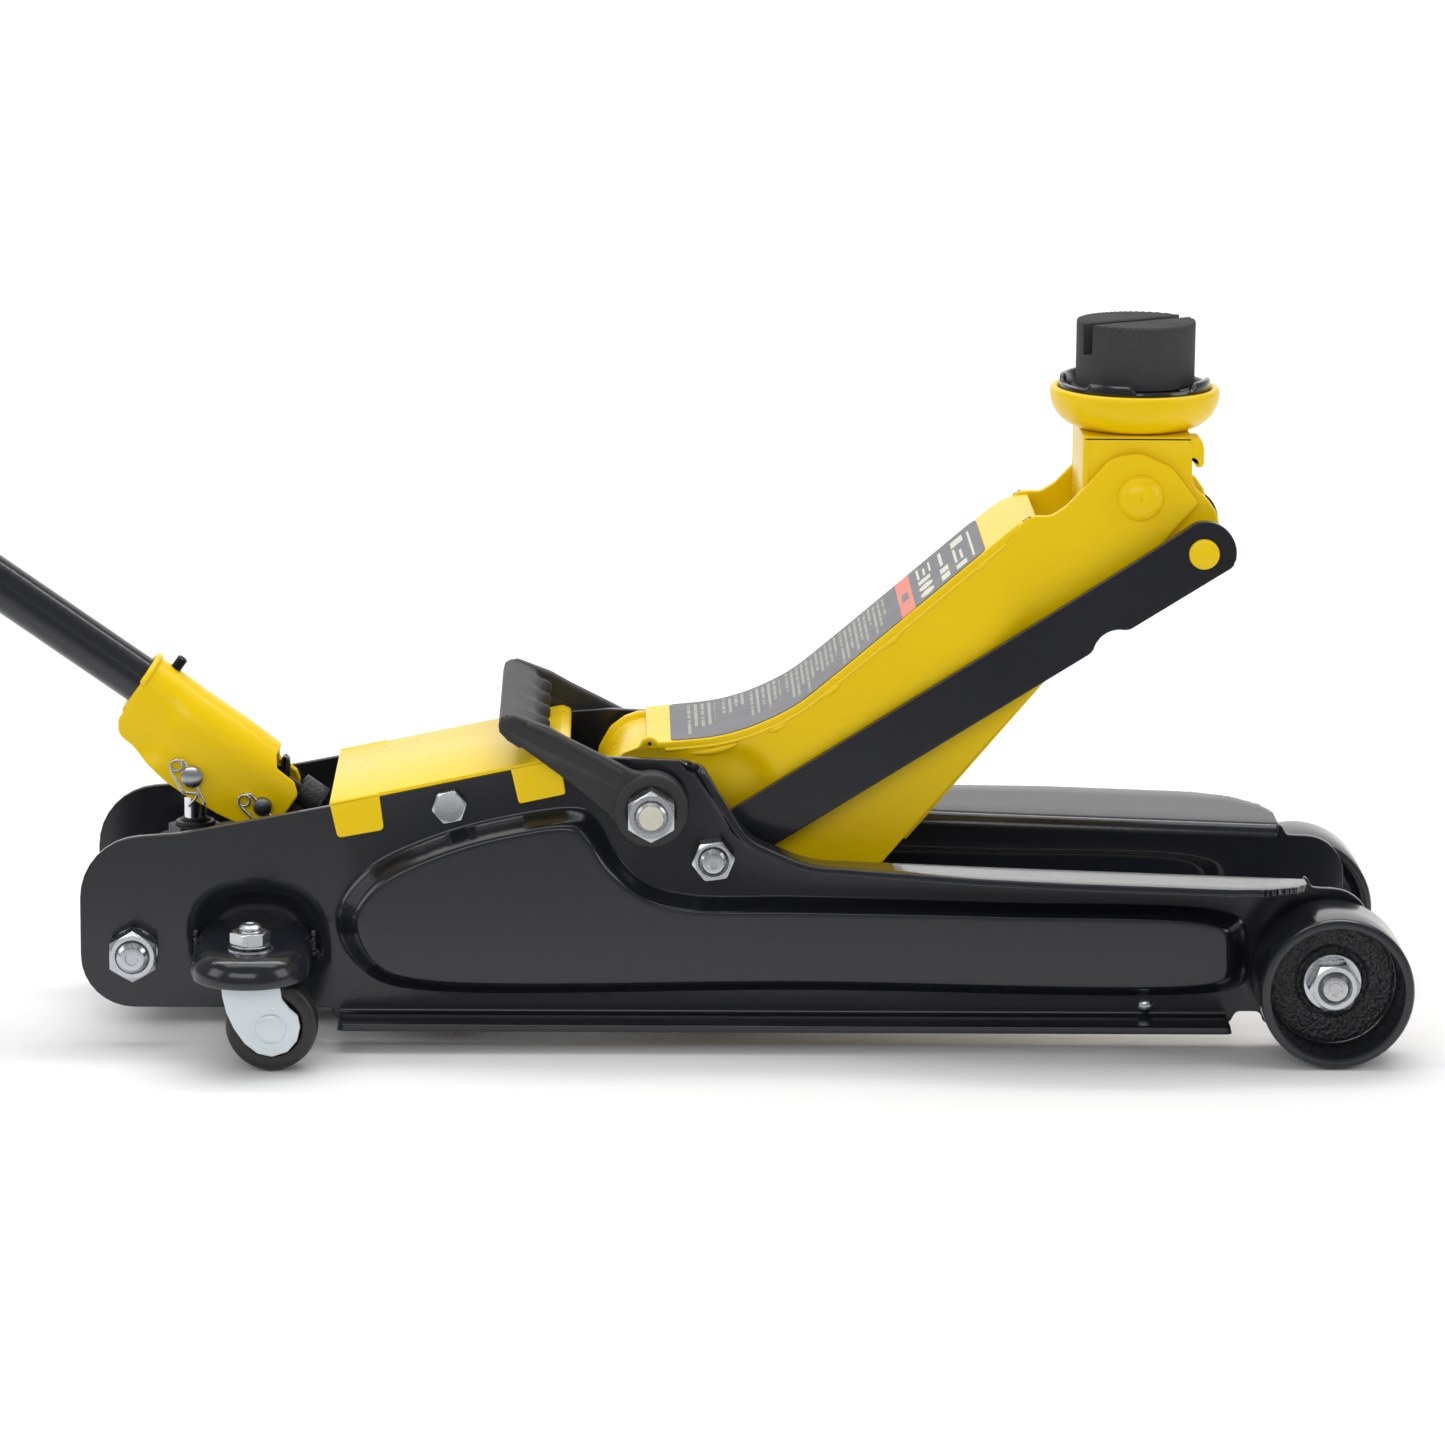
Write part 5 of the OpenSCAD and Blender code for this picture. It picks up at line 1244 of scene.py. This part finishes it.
# ---------------------------------------------------------------- coil springs
def coil(p, q, r, wire, turns, hook0=0.0, hook1=0.0, y=0.0, per=14):
    """Helix from p to q (x, z) with straight tails."""
    p, q = np.array(p, float), np.array(q, float)
    d = q - p
    l = float(np.linalg.norm(d))
    d /= l
    nrm = np.array([-d[1], d[0]])
    n = int(turns * per)
    pts = []
    if hook0:
        for k in range(6):
            pts.append((p + d * hook0 * k / 6, 0.0))
    t = np.linspace(0, 1, n + 1)
    for k in range(n + 1):
        a = 2 * math.pi * turns * t[k]
        rr = r * min(1, k / 5, (n - k) / 5) if hook0 else r
        s = hook0 + (l - hook0 - hook1) * t[k]
        pts.append((p + d * s + nrm * rr * math.sin(a), rr * math.cos(a)))
    if hook1:
        for k in range(1, 7):
            pts.append((q - d * hook1 * (1 - k / 6), 0.0))
    return np.array([[c[0], y + yy, c[1]] for c, yy in pts])


AN = (142, 112)
sp = Shape()
d0 = np.array([LP[0] - AN[0], LP[1] - AN[1]])
d0 /= np.linalg.norm(d0)
a0 = (AN[0] + d0[0] * 5.6, AN[1] + d0[1] * 5.6)
a1 = (LP[0] - d0[0] * 4.8, LP[1] - d0[1] * 4.8)
sp.tube(coil(a0, a1, 5.2, 1.1, 46, 11, 12, -49.2), 1.1, 7)
hk = []
for t in np.linspace(-2.9, 0.6, 20):
    hk.append((AN[0] + 6.2 * math.cos(t + math.atan2(d0[1], d0[0]) + 2.3), -49.2, AN[1] + 6.2 * math.sin(t + math.atan2(d0[1], d0[0]) + 2.3)))
sp.tube(np.array(hk), 1.1, 7)
for f, s in ((False, "near"), (True, "far")):
    o = make(f"return_coil_{s}", sp, SPR, None, [f"return_spring_{s}"], ang=60, far=f)
    u0, u1 = 14.0, float(np.hypot(LP[0] - AN[0], LP[1] - AN[1])) - 16.0
    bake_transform(o)


# ---------------------------------------------------------------- carry handle: moulded, with finger scallops
ARMP = rp([[221, 171, 2.5], [222.5, 177.5, 3.5], [228.5, 179.5, 4], [247, 172.5, 6], [258.5, 166, 14], [274.5, 158, 20], [291, 149.5, 10], [304, 147, 10], [317, 140, 8], [316, 122, 12], [301, 110, 14], [285, 117, 10], [278, 126.5, 6], [262.5, 139.5, 20], [252.5, 147.6, 20], [231.5, 163.0, 8]], 6)
ch = Shape()
for s in (-1, 1):
    ch.slab(dense(ARMP, 5), min(s * 74.6, s * 66.2), max(s * 74.6, s * 66.2), 2.0, 4)
    ch.lathe([(8.3, 62.9), (18.8, 62.9), (19.8, 63.6), (20, 64.8), (20, 73.8), (19.4, 75.2), (18, 75.9), (13.6, 76), (13.2, 75.6), (13.2, 74.9), (8.3, 74.9)], to_y(C, s), 72, ring=True)
    # stiffening rib along the arm's upper edge
    rib = spline([(236, 174.6), (250, 168.2), (262, 161.6), (276, 154.0), (286, 148.4)], 6, closed=False)
    ch.tube(np.column_stack([rib[:, 0], np.full(len(rib), s * 74.3), rib[:, 1]]), 1.5, 10)
# cross bar swept along Y; the front edge is scalloped between cusps
secp = [(231.5, 161.6), (225.5, 165.5), (221.4, 170.0), (220.9, 173.2), (222.0, 177.2), (225.0, 178.9), (228.5, 178.9), (234, 176.8), (240, 174.6), (245, 172.8), (247.4, 171.4), (248.2, 169.6), (248.0, 166.6), (247.0, 164.6), (244.4, 163.2), (238, 161.6)]
loops = []
ys = np.linspace(-72, 72, 145)
for y in ys:
    c = abs(((y + 15.5) % 31.0) / 31.0 - 0.5) * 2  # 1 at a cusp, 0 between
    cut = 6.4 * (1 - c ** 2.6) if abs(y) < 64 else 6.4 * (1 - c ** 2.6) * smooth01((72 - abs(y)) / 8.0)
    l = []
    for x, z in secp:
        w = float(smooth01((x - 236) / 12.0))
        l.append((x - cut * w, y, z))
    loops.append(np.array(l))
ch.loft(loops)
make("carry_handle_moulded", ch, PLA, "carry", ["carry_handle"], ang=42)

# ---------------------------------------------------------------- cover plate: folded sheet with tabs
cvp = rp([[132, 129.6, 0], [247, 153.9, 0], [253.5, 155.6, 3], [258.4, 153.6, 2.5], [258.0, 142, 0.6], [256.0, 142, 0.6], [255.6, 151.4, 2], [247.4, 151.9, 0], [132.4, 127.6, 0]], 4)
cv = Shape()
cv.slab(cvp, -63.2, 63.2, 0.5, 2)
for s in (-1, 1):
    y0, y1 = sorted((s * 62.5, s * 64.7))
    cv.slab(rp([[132, 129.4, 0.6], [158, 134.9, 0.6], [160.6, 115.2, 2.4], [136.2, 110.6, 2.4]], 4), y0, y1, 0.6, 3)
    cv.slab(rp([[227, 149.4, 0.6], [253, 154.8, 0.6], [256.2, 135.0, 1.6], [231.6, 129.6, 1.6]], 4), y0, y1, 0.6, 3)
    cv.tube(np.array([[132 + (26 * t), s * 63.5, 128.7 + 5.4 * t] for t in np.linspace(0.02, 0.98, 12)]), 1.25, 12)
    cv.tube(np.array([[228 + (25 * t), s * 63.5, 148.9 + 5.2 * t] for t in np.linspace(0.02, 0.98, 12)]), 1.25, 12)
make("cover_plate_folded", cv, YEL, "base", ["cover_plate"], ang=40)

# ---------------------------------------------------------------- handle: two tubes, lock button, grip
h1 = Shape()
h1.lathe([(0, 30), (7.4, 30), (8, 30.6), (8, 45), (12.2, 45), (13, 45.8), (13, 556), (13.3, 556.6), (14.4, 557.2), (14.6, 558), (14.6, 565), (14.2, 565.8), (11.2, 566), (11.2, 540), (0, 539)], to_tube, 64)
make("handle_tube_lower", h1, BLK, "handle", ["handle_lower"], ang=36)
h2 = Shape()
h2.lathe([(0, 480), (10, 480), (10.6, 480.6), (10.6, 566), (12.4, 566.3), (13, 567), (13, 1078.4), (12.4, 1079), (0, 1079)], to_tube, 64)
h2.lathe([(0, 9.2), (3, 9.2), (3, 13.6), (2.6, 14.4), (1.6, 14.9), (0, 15)], lambda x, y, h: tuple(tubeax(540 + x, -h, 15 + y)), 28)
make("handle_tube_upper", h2, BLK, "handle", ["handle_upper"], ang=36)
gr = Shape()
gp = [(13.05, 950.2), (15.0, 950), (16.2, 951), (16.6, 953)]
for i in range(11):
    z0 = 957 + i * 11.5
    gp += [(16.4, z0 - 0.8), (15.4, z0), (15.4, z0 + 2.6), (16.4, z0 + 3.4), (17.0, z0 + 4.6), (17.0, z0 + 8.6), (16.7, z0 + 9.8)]
gp += [(17.0, 1081.5), (16.9, 1083.4), (16.0, 1084.8), (14.0, 1085), (6, 1085), (5.4, 1084.2), (0, 1084)]
gr.lathe([p for p in gp if True], to_tube, 72)
make("handle_grip_ribbed", gr, GRP, "handle", ["handle_grip"], ang=40)

# wiper ring on the barrel mouth; the plunger spring itself sits out of sight
wr = Shape()
wr.lathe([(6.15, 102.6), (10.4, 102.6), (10.8, 103.0), (10.8, 104.2), (10.2, 104.9), (8.4, 105.2), (7.0, 106.6), (6.4, 106.9), (6.15, 106.4)], to_z(57, 0), 56, ring=True)
make("plunger_wiper_ring", wr, OXI, "base", ["plunger_spring"], ang=30)


# ---------------------------------------------------------------- CAD nodes that stay, with rounded edges
STAY = {
    "pump_block": (UNI, 0.8), "pump_barrel": (UNI, 0.4), "hydraulic_cylinder": (UNI, 0.6), "cylinder_gland": (STL, 0.4), "filler_plug": (TRD, 0.5), "spring_anchor_rod": (STL, 0.3), "ram_rod": (CRM, 0.4), "ram_head": (STL, 0.8), "pump_plunger": (CRM, 0.4), "release_valve": (OXI, 0.5),
    "lever_pin": (STL, 0.5), "front_tie_bar": (STL, 0.5), "rear_tie_sleeves": (STL, 0.4), "socket_pivot_pin": (PIN, 0.5), "plunger_pin": (ZNC, 0.5), "plunger_roller": (STL, 0.4), "set_screw": (OXI, 0.4),
    "handle_lower": (BLK, 0.5), "handle_upper": (BLK, 0.5), "handle_grip": (GRP, 0.8), "cover_plate": (YEL, 0.5), "lift_arm": (YEL, 0.8), "saddle_pivot_pin": (YEL, 0.6), "link_front_pin": (YEL, 0.5), "arm_label": (PLA, 0),
    "link_bar_near": (BLK, 0.6), "link_bar_far": (BLK, 0.6), "saddle_bracket": (YELR, 0.8), "saddle_cup": (YEL, 0), "saddle_dish": (SAD, 0.5), "saddle_pad": (PAD, 0.6), "handle_socket": (YEL, 0.5), "carry_handle": (PLA, 0.8),
    "return_spring_near": (SPR, 0), "return_spring_far": (SPR, 0), "pivot_clips": (ZNC, 0), "plunger_clips": (ZNC, 0),
}
for name, (mt, bev) in STAY.items():
    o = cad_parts[name]
    if o.hide_render:
        continue
    o.data.materials.clear()
    o.data.materials.append(mt)
    o.data.polygons.foreach_set("use_smooth", [True] * len(o.data.polygons))
    if bev:
        w = o.modifiers.new("weld", "WELD")
        w.merge_threshold = 1e-6
        b = o.modifiers.new("bevel", "BEVEL")
        b.width = bev / 1000
        b.segments = 2
        b.limit_method = "ANGLE"
        b.angle_limit = math.radians(40)
        b.harden_normals = False
        wn = o.modifiers.new("normals", "WEIGHTED_NORMAL")
        wn.keep_sharp = True
    else:
        o.data.set_sharp_from_angle(angle=math.radians(35))


# ---------------------------------------------------------------- floor, light and camera
fl = bpy.data.materials.new("floor_paper")
fl.use_nodes = True
fb = fl.node_tree.nodes["Principled BSDF"]
fb.inputs["Base Color"].default_value = (0.93, 0.93, 0.93, 1)
fb.inputs["Roughness"].default_value = 0.9
fb.inputs["Specular IOR Level"].default_value = 0.2
# the paper sweep is one-sided, so that views from behind see through it
bk, tb, mb = fl.node_tree.nodes.new("ShaderNodeNewGeometry"), fl.node_tree.nodes.new("ShaderNodeBsdfTransparent"), fl.node_tree.nodes.new("ShaderNodeMixShader")
fl.node_tree.links.new(bk.outputs["Backfacing"], mb.inputs[0])
fl.node_tree.links.new(fb.outputs[0], mb.inputs[1])
fl.node_tree.links.new(tb.outputs[0], mb.inputs[2])
fl.node_tree.links.new(mb.outputs[0], fl.node_tree.nodes["Material Output"].inputs[0])
prof = [(-9.0, 0.0), (2.6, 0.0)] + [(2.6 + 1.6 * math.sin(a), 1.6 - 1.6 * math.cos(a)) for a in np.linspace(0.1, math.pi / 2, 16)] + [(4.2, 7.0)]
V, F = [], []
for x in (-12.0, 12.0):
    V += [(x, y, z - 0.0008) for y, z in prof]
k = len(prof)
F = [(i, k + i, k + i + 1, i + 1) for i in range(k - 1)]
me = bpy.data.meshes.new("floor")
me.from_pydata(V, [], F)
me.materials.append(fl)
me.polygons.foreach_set("use_smooth", [True] * len(me.polygons))
floor = bpy.data.objects.new("floor", me)
bpy.context.scene.collection.objects.link(floor)


def area(name, loc, at, size, power, col=(1, 1, 1)):
    li = bpy.data.lights.new(name, "AREA")
    li.shape = "RECTANGLE"
    li.size, li.size_y = size
    li.energy = power
    li.color = col
    o = bpy.data.objects.new(name, li)
    o.location = loc
    o.rotation_mode = "QUATERNION"
    o.rotation_quaternion = (Vector(at) - Vector(loc)).to_track_quat("-Z", "Y")
    bpy.context.scene.collection.objects.link(o)
    return o


area("top_softbox", (0.3, 0.25, 2.1), (0.3, 0.0, 0.1), (2.6, 1.5), 28)
area("front_softbox", (-0.3, -2.6, 1.5), (0.2, 0, 0.2), (2.6, 1.0), 22)
area("left_softbox", (-2.2, -0.9, 1.2), (0.1, 0, 0.2), (1.2, 1.4), 12)
area("right_softbox", (2.6, -0.8, 1.1), (0.4, 0, 0.2), (1.2, 1.4), 12)
area("wall_light", (0.3, 1.2, 3.4), (0.3, 4.0, 1.2), (6.0, 1.2), 136)
# dark flag in front, seen in reflections only, so that gloss paint shows a falloff
fm = bpy.data.materials.new("flag")
fm.use_nodes = True
n2, l2 = fm.node_tree.nodes, fm.node_tree.links
n2["Principled BSDF"].inputs["Base Color"].default_value = (0.012, 0.012, 0.014, 1)
n2["Principled BSDF"].inputs["Roughness"].default_value = 1.0
n2["Principled BSDF"].inputs["Specular IOR Level"].default_value = 0.0
tc, sp2, mr = n2.new("ShaderNodeTexCoord"), n2.new("ShaderNodeSeparateXYZ"), n2.new("ShaderNodeMapRange")
mr.inputs["From Min"].default_value, mr.inputs["From Max"].default_value = 0.10, 0.90
mr.inputs["To Min"].default_value, mr.inputs["To Max"].default_value = 0.0, 0.72
neg = n2.new("ShaderNodeMath")
neg.operation = "MULTIPLY"
neg.inputs[1].default_value = -1
tr, mx = n2.new("ShaderNodeBsdfTransparent"), n2.new("ShaderNodeMixShader")
l2.new(tc.outputs["Object"], sp2.inputs[0])
l2.new(sp2.outputs[1], neg.inputs[0])
l2.new(neg.outputs[0], mr.inputs["Value"])
l2.new(mr.outputs[0], mx.inputs[0])
l2.new(tr.outputs[0], mx.inputs[1])
l2.new(n2["Principled BSDF"].outputs[0], mx.inputs[2])
l2.new(mx.outputs[0], n2["Material Output"].inputs[0])
gm = bpy.data.meshes.new("flag")
gm.from_pydata([(-3, -2.9, 0.001), (3.5, -2.9, 0.001), (3.5, -0.3, 0.001), (-3, -0.3, 0.001)], [], [(0, 1, 2, 3)])
gm.materials.append(fm)
flag = bpy.data.objects.new("flag", gm)
bpy.context.scene.collection.objects.link(flag)
flag.visible_camera = False
flag.visible_diffuse = False
flag.visible_shadow = False
flag.visible_transmission = False
world = bpy.data.worlds.new("studio")
world.use_nodes = True
world.node_tree.nodes["Background"].inputs[0].default_value = (1, 1, 1, 1)
world.node_tree.nodes["Background"].inputs[1].default_value = 0.26
bpy.context.scene.world = world
sc = bpy.context.scene
sc.view_settings.view_transform = "Standard"
sc.view_settings.look = "None"
sc.view_settings.exposure = 0.0

FPX, CX, CY, CZ, YAW, PITCH, ROLL = 5878.1439, 275.98598, -3077.46807, 836.47041, 0.0206771, 0.2163699, 0.0095297
fwd = Vector((math.sin(YAW) * math.cos(PITCH), math.cos(YAW) * math.cos(PITCH), -math.sin(PITCH)))
rgt = Vector((math.cos(YAW), -math.sin(YAW), 0))
up = rgt.cross(fwd)
r2 = math.cos(ROLL) * rgt + math.sin(ROLL) * up
u2 = -math.sin(ROLL) * rgt + math.cos(ROLL) * up
from mathutils import Matrix
cam = bpy.data.cameras.new("camera")
cam.sensor_width = 36.0
cam.lens = FPX / 1445.0 * 36.0
cam.clip_start, cam.clip_end = 0.05, 60
co = bpy.data.objects.new("camera", cam)
m = Matrix((r2, u2, -fwd)).transposed().to_4x4()
m.translation = Vector(((CX - XM) / 1000, CY / 1000, CZ / 1000))
co.matrix_world = m
bpy.context.scene.collection.objects.link(co)
bpy.context.scene.camera = co
